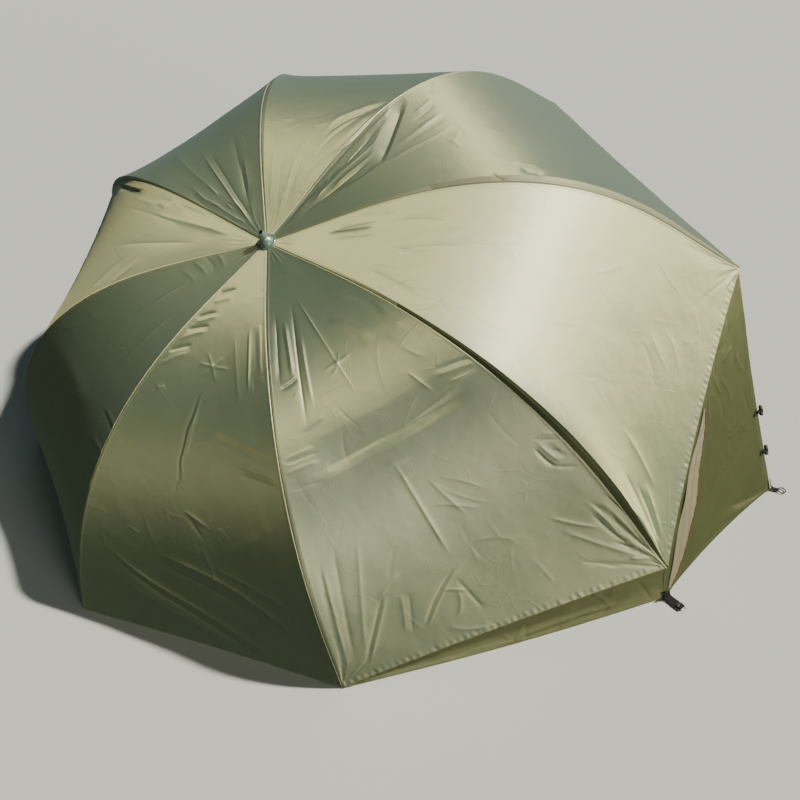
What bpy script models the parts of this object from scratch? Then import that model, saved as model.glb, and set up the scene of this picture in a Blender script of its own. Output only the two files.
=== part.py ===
# Fishing umbrella, tilted back on its rear ribs, with two side panels.
# Metres, +Z up. The origin is where the pole enters the ground, the ground is z = 0,
# the open front faces -Y, and "left" is the -X side, as seen from the front.
# The pole leans back along the hub axis, from the origin up to the hub.

import bpy
import bmesh
import math
from mathutils import Matrix, Vector

# ---------------------------------------------------------------- dimensions
HUB_HEIGHT = 0.744            # hub (canopy apex) above the ground
TILT = 0.444                  # lean of the hub axis from vertical, radians, towards +Y

RIB_NUMBERS = range(1, 9)     # 4 is the rear rib, 8 the front one
RIB_STEP = math.radians(45)
RIB_LENGTH = {"rear": 1.069, "rear_side": 1.161, "side": 1.359, "front_side": 1.326, "front": 1.289}
RIB_FLEX = {"rear": -0.020, "rear_side": 0.095, "side": 0.044, "front_side": -0.070, "front": -0.049}
RIB_PULL = {"rear": 0.0, "rear_side": 0.044, "side": 0.026, "front_side": 0.032, "front": 0.0}
RIB_PLACE = {4: "rear", 3: "rear_side", 5: "rear_side", 2: "side", 6: "side",
             1: "front_side", 7: "front_side", 8: "front"}
SLOPE = (-0.061, -0.572, 3.398, -1.783)   # slope of a rib against its length, radians, cubic
CANOPY_START_R = 0.030        # the canopy is flat out to here, under the nub
PULL_START = 0.34             # sideways pull of the rib ends starts here
PULL_POWER = 1.8
PANEL_HOLLOW = 0.004          # the fabric pulls in this much between ribs
FABRIC = 0.0012

RIB_R = 0.0030
RIB_DROP = 0.0085             # rib centre below the top of the fabric
RIB_DROP_HUB = 0.0045         # and this much more at the hub

HINGE_R = 0.0165              # rib hinge ring in the crown
HINGE_H = -0.0135
RING_R = 0.0011
CROWN_R = 0.0210
CROWN_TOP = -0.0050
CROWN_BOTTOM = -0.0220
SPIGOT_R = 0.0104
PLATE = 0.0030                # thickness of the hinge plates and strut ends

CLIP_AT = 0.300               # strut clip along the rib
PIN_DROP = 0.0130             # strut pin below the rib centre
PIN_R = 0.0015
STRUT_LENGTH = 0.380
STRUT_R = 0.0030
STRUT_FOOT_R = 0.0245         # strut foot from the pole axis

FOLD = math.radians(58)       # travel of the rib hinges

UPPER_POLE_R = 0.0125
UPPER_POLE_IN = 0.0107
UPPER_POLE_TOP = -0.0225
UPPER_POLE_END = -0.7000
LOWER_POLE_R = 0.0100
LOWER_POLE_IN = 0.0080
LOWER_POLE_TOP = -0.4000
LOWER_POLE_END = -0.9000
SPIKE_END = -1.1000
COLLAR_TOP = -0.6730
CLAMP_AT = -0.6880

RUNNER_R = 0.0165
RUNNER_IN = 0.0130
RUNNER_FLANGE = 0.0300

NUB_BASE_R = 0.0200
NUB_NECK_R = 0.0095
NUB_TOP = 0.0380
NUB_BORE_R = 0.0062

WING_BACK = Vector((-1.066, 0.056, 0.002))    # rear ground corner of the left side panel
WING_FRONT = Vector((-1.087, -0.479, 0.002))  # front ground corner
PEG_BACK = Vector((-1.104, 0.062, 0.0))
LOOP_FRONT = Vector((-1.118, -0.496, 0.0))
PEG_R = 0.0020
PEG_DEPTH = 0.165
TOGGLES_AT = (0.63, 0.815)    # along the front edge, from the rib tip down

# ---------------------------------------------------------------- clean start
for old in list(bpy.data.objects):
    bpy.data.objects.remove(old, do_unlink=True)

SCENE = bpy.context.scene
PARTS = bpy.data.collections.new("fishing_umbrella")
CUTTERS = bpy.data.collections.new("cutters")
SCENE.collection.children.link(PARTS)
SCENE.collection.children.link(CUTTERS)


def material(name, colour, roughness, metallic=0.0):
    m = bpy.data.materials.new(name)
    m.use_nodes = True
    b = m.node_tree.nodes["Principled BSDF"]
    b.inputs["Base Color"].default_value = (*colour, 1.0)
    b.inputs["Roughness"].default_value = roughness
    b.inputs["Metallic"].default_value = metallic
    return m


CANOPY_CLOTH = material("canopy_cloth", (0.20, 0.205, 0.13), 0.55)
PANEL_CLOTH = material("panel_cloth", (0.16, 0.165, 0.09), 0.6)
FIBREGLASS = material("fibreglass", (0.02, 0.02, 0.02), 0.35)
STEEL = material("steel", (0.45, 0.46, 0.45), 0.35, 1.0)
DARK_TUBE = material("dark_tube", (0.05, 0.055, 0.04), 0.4, 0.6)
NUB_METAL = material("nub_metal", (0.55, 0.58, 0.56), 0.2, 1.0)
BLACK_PLASTIC = material("black_plastic", (0.02, 0.02, 0.02), 0.5)
PALE_PLASTIC = material("pale_plastic", (0.55, 0.54, 0.47), 0.5)
WEBBING = material("webbing", (0.015, 0.015, 0.017), 0.8)

# ---------------------------------------------------------------- frame of the umbrella
N = Vector((0.0, math.sin(TILT), math.cos(TILT)))       # hub axis, up
REAR = Vector((0.0, math.cos(TILT), -math.sin(TILT)))   # across it, to the rear
SIDE = Vector((1.0, 0.0, 0.0))
HUB = Vector((0.0, HUB_HEIGHT * math.tan(TILT), HUB_HEIGHT))


def azimuth(i):
    return (4 - i) * RIB_STEP


def outward(psi):
    return REAR * math.cos(psi) + SIDE * math.sin(psi)


def hinge_axis(i):
    """Rib hinge axis: a positive turn folds the rib down to the pole."""
    return N.cross(outward(azimuth(i)))


def frame_at(i, r, h, slope=0.0, shift=None):
    """Matrix with X along the rib's slope, Z the fabric's normal and Y along the hinge axis."""
    d = outward(azimuth(i))
    x = d * math.cos(slope) - N * math.sin(slope)
    z = d * math.sin(slope) + N * math.cos(slope)
    y = z.cross(x)
    p = HUB + d * r + N * h
    if shift is not None:
        p = p + shift
    m = Matrix((x, y, z)).transposed().to_4x4()
    m.translation = p
    return m


def pole_frame(h, psi=0.0):
    """Matrix on the pole axis at height h, Z along the pole and X at azimuth psi."""
    x = outward(psi)
    m = Matrix((x, N.cross(x), N)).transposed().to_4x4()
    m.translation = HUB + N * h
    return m


STEPS = 240


def rib_table(i):
    place = RIB_PLACE[i]
    length, flex = RIB_LENGTH[place], RIB_FLEX[place]
    ds = length / STEPS
    rows, r, h = [], CANOPY_START_R, 0.0

    def slope(s):
        return SLOPE[0] + SLOPE[1] * s + (SLOPE[2] + flex) * s * s + SLOPE[3] * s ** 3

    for k in range(STEPS + 1):
        s = k * ds
        if k:
            a = slope(s - ds / 2)
            r += math.cos(a) * ds
            h -= math.sin(a) * ds
        rows.append((s, r, h, slope(s)))
    return rows


RIB_ROWS = {i: rib_table(i) for i in RIB_NUMBERS}


def rib_state(i, s):
    """(r, h, slope) of the fabric's top over rib i at length s, with a straight run before 0."""
    rows = RIB_ROWS[i]
    length = rows[-1][0]
    f = max(0.0, min(1.0, s / length)) * STEPS
    k = min(STEPS - 1, int(f))
    w = f - k
    r, h, a = (rows[k][c] * (1 - w) + rows[k + 1][c] * w for c in (1, 2, 3))
    extra = min(0.0, s) + max(0.0, s - length)
    return r + extra * math.cos(a), h - extra * math.sin(a), a


def pull(i, s):
    """Sideways pull of a rib's end towards the rear, as a vector."""
    place = RIB_PLACE[i]
    psi = azimuth(i)
    if RIB_PULL[place] == 0.0 or s <= PULL_START:
        return Vector((0.0, 0.0, 0.0))
    u = (s - PULL_START) / (RIB_LENGTH[place] - PULL_START)
    along = -REAR * math.sin(psi) + SIDE * math.cos(psi)
    return along * (RIB_PULL[place] * u ** PULL_POWER * (1.0 if psi < 0 else -1.0))


def rib_top(i, s):
    r, h, _ = rib_state(i, s)
    return HUB + outward(azimuth(i)) * r + N * h + pull(i, s)


def rib_centre(i, s):
    """(r, h, slope) of the rib's own centre line."""
    r, h, a = rib_state(i, s)
    drop = RIB_DROP + RIB_DROP_HUB * math.exp(-max(s, 0.0) / 0.08)
    return r - drop * math.sin(a), h - drop * math.cos(a), a


def rib_line(i, s):
    r, h, _ = rib_centre(i, s)
    return HUB + outward(azimuth(i)) * r + N * h + pull(i, s)


def canopy_point(i, j, u, t):
    """Top of the fabric between ribs i and j, u from hub to rim and t from i to j."""
    li, lj = RIB_LENGTH[RIB_PLACE[i]], RIB_LENGTH[RIB_PLACE[j]]
    p = rib_top(i, u * li) * (1 - t) + rib_top(j, u * lj) * t
    slope = rib_state(i, u * li)[2] * (1 - t) + rib_state(j, u * lj)[2] * t
    radial = p - HUB
    radial = (radial - N * radial.dot(N)).normalized()
    normal = radial * math.sin(slope) + N * math.cos(slope)
    depth = PANEL_HOLLOW * 4 * t * (1 - t) * math.sin(math.pi / 2 * min(1.0, 1.2 * u))
    return p - normal * depth


# ---------------------------------------------------------------- modelling helpers
def link(name, data, where=PARTS):
    o = bpy.data.objects.new(name, data)
    where.objects.link(o)
    return o


def paint(o, mat):
    o.data.materials.clear()
    o.data.materials.append(mat)
    return o


def smooth(o, angle=math.radians(35)):
    if o.type == "MESH":
        o.data.shade_smooth()
        o.data.set_sharp_from_angle(angle=angle)
    return o


def turned(name, profile, segments, matrix, closed=False, where=PARTS):
    """A turned shape about the matrix's Z. The profile lists (radius, height), outer side from the top down."""
    mesh = bpy.data.meshes.new(name)
    bm = bmesh.new()
    vs = [bm.verts.new((r, 0.0, z)) for r, z in profile]
    for a, b in zip(vs, vs[1:]):
        bm.edges.new((a, b))
    if closed:
        bm.edges.new((vs[-1], vs[0]))
    bm.to_mesh(mesh)
    bm.free()
    o = link(name, mesh, where)
    s = o.modifiers.new("screw", "SCREW")
    s.axis = "Z"
    s.steps = segments
    s.render_steps = segments
    s.use_merge_vertices = True
    s.merge_threshold = 0.00001
    s.use_normal_calculate = False
    o.matrix_world = matrix
    return o


def block(name, size, matrix, where=CUTTERS):
    mesh = bpy.data.meshes.new(name)
    bm = bmesh.new()
    bmesh.ops.create_cube(bm, size=1.0, matrix=Matrix.Diagonal((*size, 1.0)))
    bm.to_mesh(mesh)
    bm.free()
    o = link(name, mesh, where)
    o.matrix_world = matrix
    return o


def rod(name, radius, length, matrix, segments=12, where=CUTTERS):
    """A cylinder centred on the matrix, along its Z."""
    mesh = bpy.data.meshes.new(name)
    bm = bmesh.new()
    bmesh.ops.create_cone(bm, cap_ends=True, segments=segments, radius1=radius, radius2=radius, depth=length)
    bm.to_mesh(mesh)
    bm.free()
    o = link(name, mesh, where)
    o.matrix_world = matrix
    return o


def hide(o):
    o.hide_render = True
    o.display_type = "WIRE"
    for c in list(o.users_collection):
        c.objects.unlink(o)
    CUTTERS.objects.link(o)
    return o


def boolean(o, other, operation="DIFFERENCE"):
    m = o.modifiers.new(operation.lower(), "BOOLEAN")
    m.operation = operation
    m.solver = "EXACT"
    m.object = other
    hide(other)
    return o


def baked(o):
    """The evaluated mesh of an object, in the object's own space."""
    bpy.context.view_layer.update()
    dg = bpy.context.evaluated_depsgraph_get()
    return bpy.data.meshes.new_from_object(o.evaluated_get(dg))


def drop_object(o):
    bpy.data.objects.remove(o, do_unlink=True)


def gather(name, pieces, origin, mat):
    """One object from several (mesh, matrix) solids, with its origin at a point."""
    bm = bmesh.new()
    for mesh, matrix in pieces:
        part = bmesh.new()
        part.from_mesh(mesh)
        bmesh.ops.transform(part, matrix=Matrix.Translation(-origin) @ matrix, verts=part.verts)
        tmp = bpy.data.meshes.new("tmp")
        part.to_mesh(tmp)
        part.free()
        bm.from_mesh(tmp)
        bpy.data.meshes.remove(tmp)
    mesh = bpy.data.meshes.new(name)
    bm.to_mesh(mesh)
    bm.free()
    o = link(name, mesh)
    o.location = origin
    return smooth(paint(o, mat))


def wire(name, points, radius, resolution, origin, mat, cyclic=False):
    """A round bar through points given in world space, with its origin at a point."""
    c = bpy.data.curves.new(name, "CURVE")
    c.dimensions = "3D"
    c.bevel_depth = radius
    c.bevel_resolution = resolution
    c.use_fill_caps = not cyclic
    sp = c.splines.new("POLY")
    sp.points.add(len(points) - 1)
    for q, p in zip(sp.points, points):
        q.co = (*(p - origin), 1.0)
    sp.use_cyclic_u = cyclic
    o = link(name, c)
    o.location = origin
    return paint(o, mat)


def welded(o):
    """A curve object replaced by a mesh object of the same name, with its caps welded."""
    name, matrix, mats = o.name, o.matrix_world.copy(), list(o.data.materials)
    bpy.context.view_layer.update()
    matrix = o.matrix_world.copy()
    mesh = baked(o)
    bm = bmesh.new()
    bm.from_mesh(mesh)
    bmesh.ops.remove_doubles(bm, verts=bm.verts, dist=0.00001)
    bm.to_mesh(mesh)
    bm.free()
    drop_object(o)
    new = link(name, mesh)
    new.matrix_world = matrix
    mesh.materials.clear()
    for m in mats:
        mesh.materials.append(m)
    return new


def sheet(name, rows, thickness, origin, mat, flip=False):
    """A cloth of one thickness from rows of points on its outer face."""
    mesh = bpy.data.meshes.new(name)
    bm = bmesh.new()
    grid = [[bm.verts.new(p - origin) for p in row] for row in rows]
    for a, b in zip(grid, grid[1:]):
        for k in range(len(a) - 1):
            f = (a[k], a[k + 1], b[k + 1], b[k])
            bm.faces.new(tuple(reversed(f)) if flip else f)
    bm.to_mesh(mesh)
    bm.free()
    o = link(name, mesh)
    o.location = origin
    s = o.modifiers.new("thickness", "SOLIDIFY")
    s.thickness = thickness
    s.offset = -1.0
    s.use_even_offset = True
    return smooth(paint(o, mat), math.radians(50))


def mirrored(name, source, mat):
    """The right hand copy of a left hand object, mirrored across x = 0."""
    mesh = baked(source)
    bm = bmesh.new()
    bm.from_mesh(mesh)
    bmesh.ops.transform(bm, matrix=Matrix.Diagonal((-1.0, 1.0, 1.0, 1.0)), verts=bm.verts)
    bmesh.ops.reverse_faces(bm, faces=bm.faces)
    bm.to_mesh(mesh)
    bm.free()
    o = link(name, mesh)
    o.location = (-source.location.x, source.location.y, source.location.z)
    return smooth(paint(o, mat), math.radians(50))


# ---------------------------------------------------------------- linkage
def hinge_point(i):
    return HUB + outward(azimuth(i)) * HINGE_R + N * HINGE_H


def pin_place(i):
    """(r, h) of the strut pin under rib i."""
    r, h, a = rib_centre(i, CLIP_AT)
    return r - PIN_DROP * math.sin(a), h - PIN_DROP * math.cos(a)


def folded(r, h, angle):
    """A point of the rib's plane after its hinge has turned."""
    x, z = r - HINGE_R, h - HINGE_H
    return (HINGE_R + x * math.cos(angle) + z * math.sin(angle),
            HINGE_H - x * math.sin(angle) + z * math.cos(angle))


def foot_height(r, h):
    return h - math.sqrt(STRUT_LENGTH ** 2 - (r - STRUT_FOOT_R) ** 2)


PIN_OPEN = pin_place(4)
FOOT_OPEN = foot_height(*PIN_OPEN)
PIN_FOLDED = folded(*PIN_OPEN, FOLD)
FOOT_FOLDED = foot_height(*PIN_FOLDED)
RUNNER_TRAVEL = FOOT_OPEN - FOOT_FOLDED
STRUT_TURN = (math.atan2(FOOT_OPEN - PIN_OPEN[1], STRUT_FOOT_R - PIN_OPEN[0])
              - math.atan2(FOOT_FOLDED - PIN_FOLDED[1], STRUT_FOOT_R - PIN_FOLDED[0])) - FOLD
RUNNER_PER_RADIAN = RUNNER_TRAVEL / FOLD
STRUT_RATIO = STRUT_TURN / FOLD

RUNNER_TOP = FOOT_OPEN + 0.0065
RUNNER_END = FOOT_OPEN - 0.0400
RUNNER_SCREW_AT = FOOT_OPEN - 0.0270


# ---------------------------------------------------------------- pole and spike
paint(smooth(turned("upper_pole", [(UPPER_POLE_R, UPPER_POLE_TOP), (UPPER_POLE_R, UPPER_POLE_END),
                                   (UPPER_POLE_IN, UPPER_POLE_END), (UPPER_POLE_IN, UPPER_POLE_TOP)],
                    20, pole_frame(0.0), closed=True)), DARK_TUBE)
paint(smooth(turned("lower_pole", [(LOWER_POLE_R, LOWER_POLE_TOP), (LOWER_POLE_R, LOWER_POLE_END),
                                   (LOWER_POLE_IN, LOWER_POLE_END), (LOWER_POLE_IN, LOWER_POLE_TOP)],
                    20, pole_frame(0.0), closed=True)), STEEL)
paint(smooth(turned("ground_spike", [(0.0, LOWER_POLE_END + 0.030), (LOWER_POLE_IN - 0.0003, LOWER_POLE_END + 0.030),
                                     (LOWER_POLE_IN - 0.0003, LOWER_POLE_END - 0.0003),
                                     (LOWER_POLE_R + 0.0020, LOWER_POLE_END - 0.0003),
                                     (LOWER_POLE_R + 0.0020, LOWER_POLE_END - 0.012),
                                     (LOWER_POLE_R, LOWER_POLE_END - 0.020),
                                     (0.0070, SPIKE_END + 0.060), (0.0, SPIKE_END)],
                    16, pole_frame(0.0))), STEEL)

collar = turned("pole_collar", [(0.0165, COLLAR_TOP), (0.0180, COLLAR_TOP - 0.002), (0.0180, UPPER_POLE_END - 0.010),
                                (0.0165, UPPER_POLE_END - 0.012), (0.0103, UPPER_POLE_END - 0.012),
                                (0.0103, UPPER_POLE_END - 0.0003), (0.0128, UPPER_POLE_END - 0.0003),
                                (0.0128, COLLAR_TOP)], 20, pole_frame(0.0), closed=True)
paint(smooth(collar), BLACK_PLASTIC)
RADIAL = Matrix.Rotation(math.pi / 2, 4, "Y")            # Z of a rod turned to the frame's X
boolean(collar, rod("collar_bore", 0.0036, 0.012, pole_frame(CLAMP_AT) @ Matrix.Translation((0.016, 0, 0)) @ RADIAL))
boolean(bpy.data.objects["upper_pole"],
        rod("pole_bore", 0.0036, 0.010, pole_frame(CLAMP_AT) @ Matrix.Translation((0.0125, 0, 0)) @ RADIAL))

# thumb screw of the pole clamp, with a cross bar
CLAMP_FRAME = pole_frame(CLAMP_AT) @ Matrix.Translation((0.0103, 0, 0)) @ RADIAL
screw = turned("clamp_screw", [(0.0, 0.024), (0.0058, 0.024), (0.0066, 0.022), (0.0066, 0.010), (0.0030, 0.0095),
                               (0.0030, 0.0), (0.0, 0.0)], 16, CLAMP_FRAME)
boolean(screw, rod("clamp_bar", 0.0036, 0.044, CLAMP_FRAME @ Matrix.Translation((0, 0, 0.0165)) @
                   Matrix.Rotation(math.pi / 2, 4, "X"), 12), "UNION")
paint(smooth(screw), BLACK_PLASTIC)

# ---------------------------------------------------------------- crown, ring, washer, nub
crown = turned("crown", [(0.0, CROWN_TOP - 0.0100), (0.0046, CROWN_TOP - 0.0100), (0.0046, CROWN_TOP),
                         (CROWN_R - 0.0015, CROWN_TOP), (CROWN_R, CROWN_TOP - 0.0015), (CROWN_R, CROWN_BOTTOM),
                         (SPIGOT_R, CROWN_BOTTOM), (SPIGOT_R, CROWN_BOTTOM - 0.0200), (0.0, CROWN_BOTTOM - 0.0200)],
               16, pole_frame(0.0))
slots = bmesh.new()
for i in RIB_NUMBERS:
    bmesh.ops.create_cube(slots, size=1.0, matrix=Matrix.Rotation(RIB_STEP * i, 4, "Z") @ Matrix.Translation(
        (0.0190, 0, (CROWN_TOP - 0.0025 + CROWN_BOTTOM - 0.005) / 2)) @ Matrix.Diagonal(
        (0.0150, 0.0042, (CROWN_TOP - 0.0025) - (CROWN_BOTTOM - 0.005), 1.0)))
slot_mesh = bpy.data.meshes.new("crown_slots")
slots.to_mesh(slot_mesh)
slots.free()
slot_cutter = link("crown_slots", slot_mesh, CUTTERS)
slot_cutter.matrix_world = pole_frame(0.0)
boolean(crown, slot_cutter)
groove = turned("crown_groove", [(HINGE_R + 0.0016, HINGE_H + 0.0016), (HINGE_R + 0.0016, HINGE_H - 0.0016),
                                 (HINGE_R - 0.0016, HINGE_H - 0.0016), (HINGE_R - 0.0016, HINGE_H + 0.0016)],
                16, pole_frame(0.0), closed=True, where=CUTTERS)
boolean(crown, groove)
paint(smooth(crown), BLACK_PLASTIC)

ring_points = [HUB + outward(k * math.pi / 8) * HINGE_R + N * HINGE_H for k in range(16)]
wire("crown_ring", ring_points, RING_R, 1, HUB, STEEL, cyclic=True)

paint(smooth(turned("canopy_washer", [(0.0235, 0.0030), (0.0245, 0.0020), (0.0245, 0.0004), (0.0047, 0.0004),
                                      (0.0047, 0.0030)], 20, pole_frame(0.0), closed=True)), BLACK_PLASTIC)

nub_profile = [(NUB_BORE_R, NUB_TOP), (NUB_NECK_R - 0.0008, NUB_TOP), (NUB_NECK_R, NUB_TOP - 0.0010),
               (NUB_NECK_R, 0.0190), (NUB_NECK_R + 0.0012, 0.0165), (0.0150, 0.0125), (0.0186, 0.0080),
               (NUB_BASE_R, 0.0045), (NUB_BASE_R, 0.0033), (0.0042, 0.0033), (0.0042, -0.0140), (0.0, -0.0140)]
nub_profile = [(0.0, 0.0200), (NUB_BORE_R, 0.0200)] + nub_profile
paint(smooth(turned("nub", nub_profile, 20, pole_frame(0.0)), math.radians(40)), NUB_METAL)

# ---------------------------------------------------------------- runner
runner = turned("runner", [(RUNNER_R, RUNNER_TOP + 0.010), (RUNNER_R, RUNNER_TOP), (RUNNER_FLANGE, RUNNER_TOP),
                           (RUNNER_FLANGE, RUNNER_TOP - 0.013), (RUNNER_R + 0.001, RUNNER_TOP - 0.016),
                           (RUNNER_R + 0.001, RUNNER_END + 0.001), (RUNNER_R, RUNNER_END), (RUNNER_IN, RUNNER_END),
                           (RUNNER_IN, RUNNER_TOP + 0.010)], 24, pole_frame(0.0), closed=True)
slots = bmesh.new()
for i in RIB_NUMBERS:
    bmesh.ops.create_cube(slots, size=1.0, matrix=Matrix.Rotation(RIB_STEP * i, 4, "Z") @ Matrix.Translation(
        (0.0270, 0, RUNNER_TOP - 0.008)) @ Matrix.Diagonal((0.0160, 0.0046, 0.024, 1.0)))
slot_mesh = bpy.data.meshes.new("runner_slots")
slots.to_mesh(slot_mesh)
slots.free()
slot_cutter = link("runner_slots", slot_mesh, CUTTERS)
slot_cutter.matrix_world = pole_frame(0.0)
boolean(runner, slot_cutter)
boolean(runner, rod("runner_bore", 0.0028, 0.012, pole_frame(RUNNER_SCREW_AT) @ Matrix.Translation((0.0165, 0, 0)) @ RADIAL))
paint(smooth(runner), BLACK_PLASTIC)
runner.matrix_world = pole_frame(0.0)

RUNNER_SCREW_FRAME = pole_frame(RUNNER_SCREW_AT) @ Matrix.Translation((0.0129, 0, 0)) @ RADIAL
runner_screw = turned("runner_screw", [(0.0, 0.0150), (0.0085, 0.0150), (0.0095, 0.0135), (0.0095, 0.0080),
                                       (0.0085, 0.0065), (0.0023, 0.0060), (0.0023, 0.0), (0.0, 0.0)], 10,
                      RUNNER_SCREW_FRAME)
paint(smooth(runner_screw), BLACK_PLASTIC)

# ---------------------------------------------------------------- shared fittings, made once
IDENTITY = Matrix.Identity(4)
FLAT_Y = Matrix.Rotation(math.pi / 2, 4, "X")            # a rod along Y
ALONG_X = Matrix.Rotation(math.pi / 2, 4, "Y")           # a rod along X

# rib root: hinge eye in the crown slot, plate, and the ferrule on the rib's end. Origin on the hinge axis.
ROOT_S0, ROOT_S1 = 0.012, 0.034
r0, h0, a0 = rib_centre(4, ROOT_S0)
r1, h1, a1 = rib_centre(4, ROOT_S1)
start = Vector((r0 - HINGE_R, 0.0, h0 - HINGE_H))
end = Vector((r1 - HINGE_R, 0.0, h1 - HINGE_H))
along = math.atan2(end.z - start.z, end.x - start.x)
ferrule_turn = Matrix.Rotation(math.pi / 2 - along, 4, "Y")
root = rod("root_eye", 0.0042, PLATE, FLAT_Y, 10, PARTS)
arm_len = start.length + 0.010
arm_angle = math.atan2(start.z, start.x)
boolean(root, block("root_arm", (arm_len, PLATE, 0.0050),
                    Matrix.Rotation(-arm_angle, 4, "Y") @ Matrix.Translation((arm_len / 2, 0, 0))), "UNION")
boolean(root, rod("root_ferrule", 0.0046, (end - start).length,
                  Matrix.Translation((start + end) / 2) @ ferrule_turn, 8), "UNION")
boolean(root, rod("root_eye_bore", 0.0019, 0.010, FLAT_Y, 8))
root_mesh = baked(root)
ROOT_FIX = FLAT_Y.copy()
for name in ("root_arm", "root_ferrule", "root_eye_bore"):
    drop_object(bpy.data.objects[name])
drop_object(root)

# strut clip: a saddle sleeve on the rib, two ears under it and the pin riveted through them.
# Origin on the rib centre.
clip = rod("clip_sleeve", 0.0050, 0.024, ALONG_X, 8, PARTS)
boolean(clip, block("clip_ears", (0.014, 0.0098, 0.0180), Matrix.Translation((0, 0, -0.0090))), "UNION")
boolean(clip, rod("clip_rib_bore", 0.0036, 0.040, ALONG_X, 8))
boolean(clip, block("clip_gap", (0.020, 0.0042, 0.0140), Matrix.Translation((0, 0, -0.0135))))
boolean(clip, rod("clip_pin", PIN_R, 0.0120, Matrix.Translation((0, 0, -PIN_DROP)) @ FLAT_Y, 8), "UNION")
clip_mesh = baked(clip)
for name in ("clip_ears", "clip_rib_bore", "clip_gap", "clip_pin"):
    drop_object(bpy.data.objects[name])
drop_object(clip)


def tip_mesh():
    """Blind cap over the rib's end, along X, its open end at the origin."""
    cap = turned("tip_cap", [(0.0, 0.0280), (0.0030, 0.0275), (0.0045, 0.0250), (0.0045, 0.0), (0.0034, 0.0),
                             (0.0034, 0.0180), (0.0, 0.0180)], 8, IDENTITY)
    mesh = baked(cap)
    drop_object(cap)
    return mesh


TIP = tip_mesh()
TIP_LENGTH = 0.028


def strut_mesh(length):
    """Strut along X from the pin at the origin to its foot eye: a tube with flat ends."""
    bar = rod("strut_bar", STRUT_R, length - 0.044, Matrix.Translation((length / 2, 0, 0)) @ ALONG_X, 8, PARTS)
    bars = bar.matrix_world.copy()
    for k, x in enumerate((0.0, length)):
        sign = 1.0 if k == 0 else -1.0
        boolean(bar, block(f"strut_end_{k}", (0.026, PLATE, 0.0064), Matrix.Translation((x + sign * 0.0130, 0, 0))), "UNION")
        boolean(bar, rod(f"strut_eye_{k}", 0.0036, PLATE, Matrix.Translation((x, 0, 0)) @ FLAT_Y, 8), "UNION")
        boolean(bar, rod(f"strut_hole_{k}", PIN_R + 0.0003, 0.010, Matrix.Translation((x, 0, 0)) @ FLAT_Y, 8))
    mesh = baked(bar)
    for k in (0, 1):
        for name in ("strut_end", "strut_eye", "strut_hole"):
            drop_object(bpy.data.objects[f"{name}_{k}"])
    drop_object(bar)
    return mesh, bars


# ---------------------------------------------------------------- ribs, fittings, struts, gores
for i in RIB_NUMBERS:
    length = RIB_LENGTH[RIB_PLACE[i]]
    pivot = hinge_point(i)
    tip_start = length + (0.012 if i == 8 else -0.006) - TIP_LENGTH
    stops = [0.0155 + (CLIP_AT - 0.0295) * k / 4 for k in range(5)]
    stops += [CLIP_AT + 0.014 + (tip_start - 0.003 - CLIP_AT - 0.014) * k / 10 for k in range(11)]
    stops += [tip_start + 0.014]
    rib = welded(wire(f"rib_{i}", [rib_line(i, at) for at in stops], RIB_R, 1, pivot, FIBREGLASS))
    root = link(f"root_{i}", root_mesh, CUTTERS)
    root.matrix_world = frame_at(i, HINGE_R, HINGE_H) @ ROOT_FIX
    boolean(rib, root, "UNION")
    smooth(rib, math.radians(60))

    rc, hc, ac = rib_centre(i, CLIP_AT)
    gather(f"rib_clip_{i}", [(clip_mesh, frame_at(i, rc, hc, ac) @ ALONG_X)], pivot, BLACK_PLASTIC)

    p0, p1 = rib_line(i, tip_start), rib_line(i, tip_start + 0.014)
    x = (p1 - p0).normalized()
    z = (N - x * N.dot(x)).normalized()
    m = Matrix((x, z.cross(x), z)).transposed().to_4x4()
    m.translation = p0
    gather(f"rib_tip_{i}", [(TIP, m @ ALONG_X)], pivot, PALE_PLASTIC)

    pr, ph = pin_place(i)
    foot = Vector((STRUT_FOOT_R, FOOT_OPEN))
    span = (Vector((pr, ph)) - foot).length
    down = math.atan2(FOOT_OPEN - ph, STRUT_FOOT_R - pr)
    strut, bar_frame = strut_mesh(span)
    d = outward(azimuth(i))
    sx = d * math.cos(down) + N * math.sin(down)
    sy = N.cross(d)
    sz = sx.cross(sy)
    m = Matrix((sx, sy, sz)).transposed().to_4x4()
    pin = HUB + d * pr + N * ph
    m.translation = pin
    gather(f"strut_{i}", [(strut, m @ bar_frame)], pin, STEEL)

    # gore: the cloth within half a panel each side of the rib
    before, after = (i % 8) + 1, ((i - 2) % 8) + 1      # neighbours at azimuth minus and plus
    rows = []
    levels = [None] + [k / 12 for k in range(13)]
    for u in levels:
        row = []
        for k in range(-2, 3):
            j = after if k > 0 else before
            width = (rib_top(i, (u or 0.0) * length) - rib_top(j, (u or 0.0) * RIB_LENGTH[RIB_PLACE[j]])).length
            if u is None:
                width *= 0.0078 / CANOPY_START_R
            edge = 0.5 - 0.0005 / width
            t = abs(k) / 2 * edge
            p = canopy_point(i, j, u or 0.0, t)
            if u is None:
                p = HUB + (p - HUB) * (0.0078 / CANOPY_START_R)
            row.append(p)
        rows.append(row)
    sheet(f"canopy_gore_{i}", rows, FABRIC, pivot, CANOPY_CLOTH)


# ---------------------------------------------------------------- side panels
def rim_point(t):
    """Lower edge of the left rim: t from -1 at rib 5 through 0 at rib 6 to 1 at rib 7."""
    if t < 0:
        return canopy_point(5, 6, 1.0, 1.0 + t)
    return canopy_point(6, 7, 1.0, t)


def ground_point(t):
    rear = rib_top(5, RIB_LENGTH["rear_side"])
    rear = Vector((rear.x, rear.y, 0.002))
    if t < 0:
        return WING_BACK * (1 + t) - rear * t
    return WING_BACK * (1 - t) + WING_FRONT * t


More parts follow.
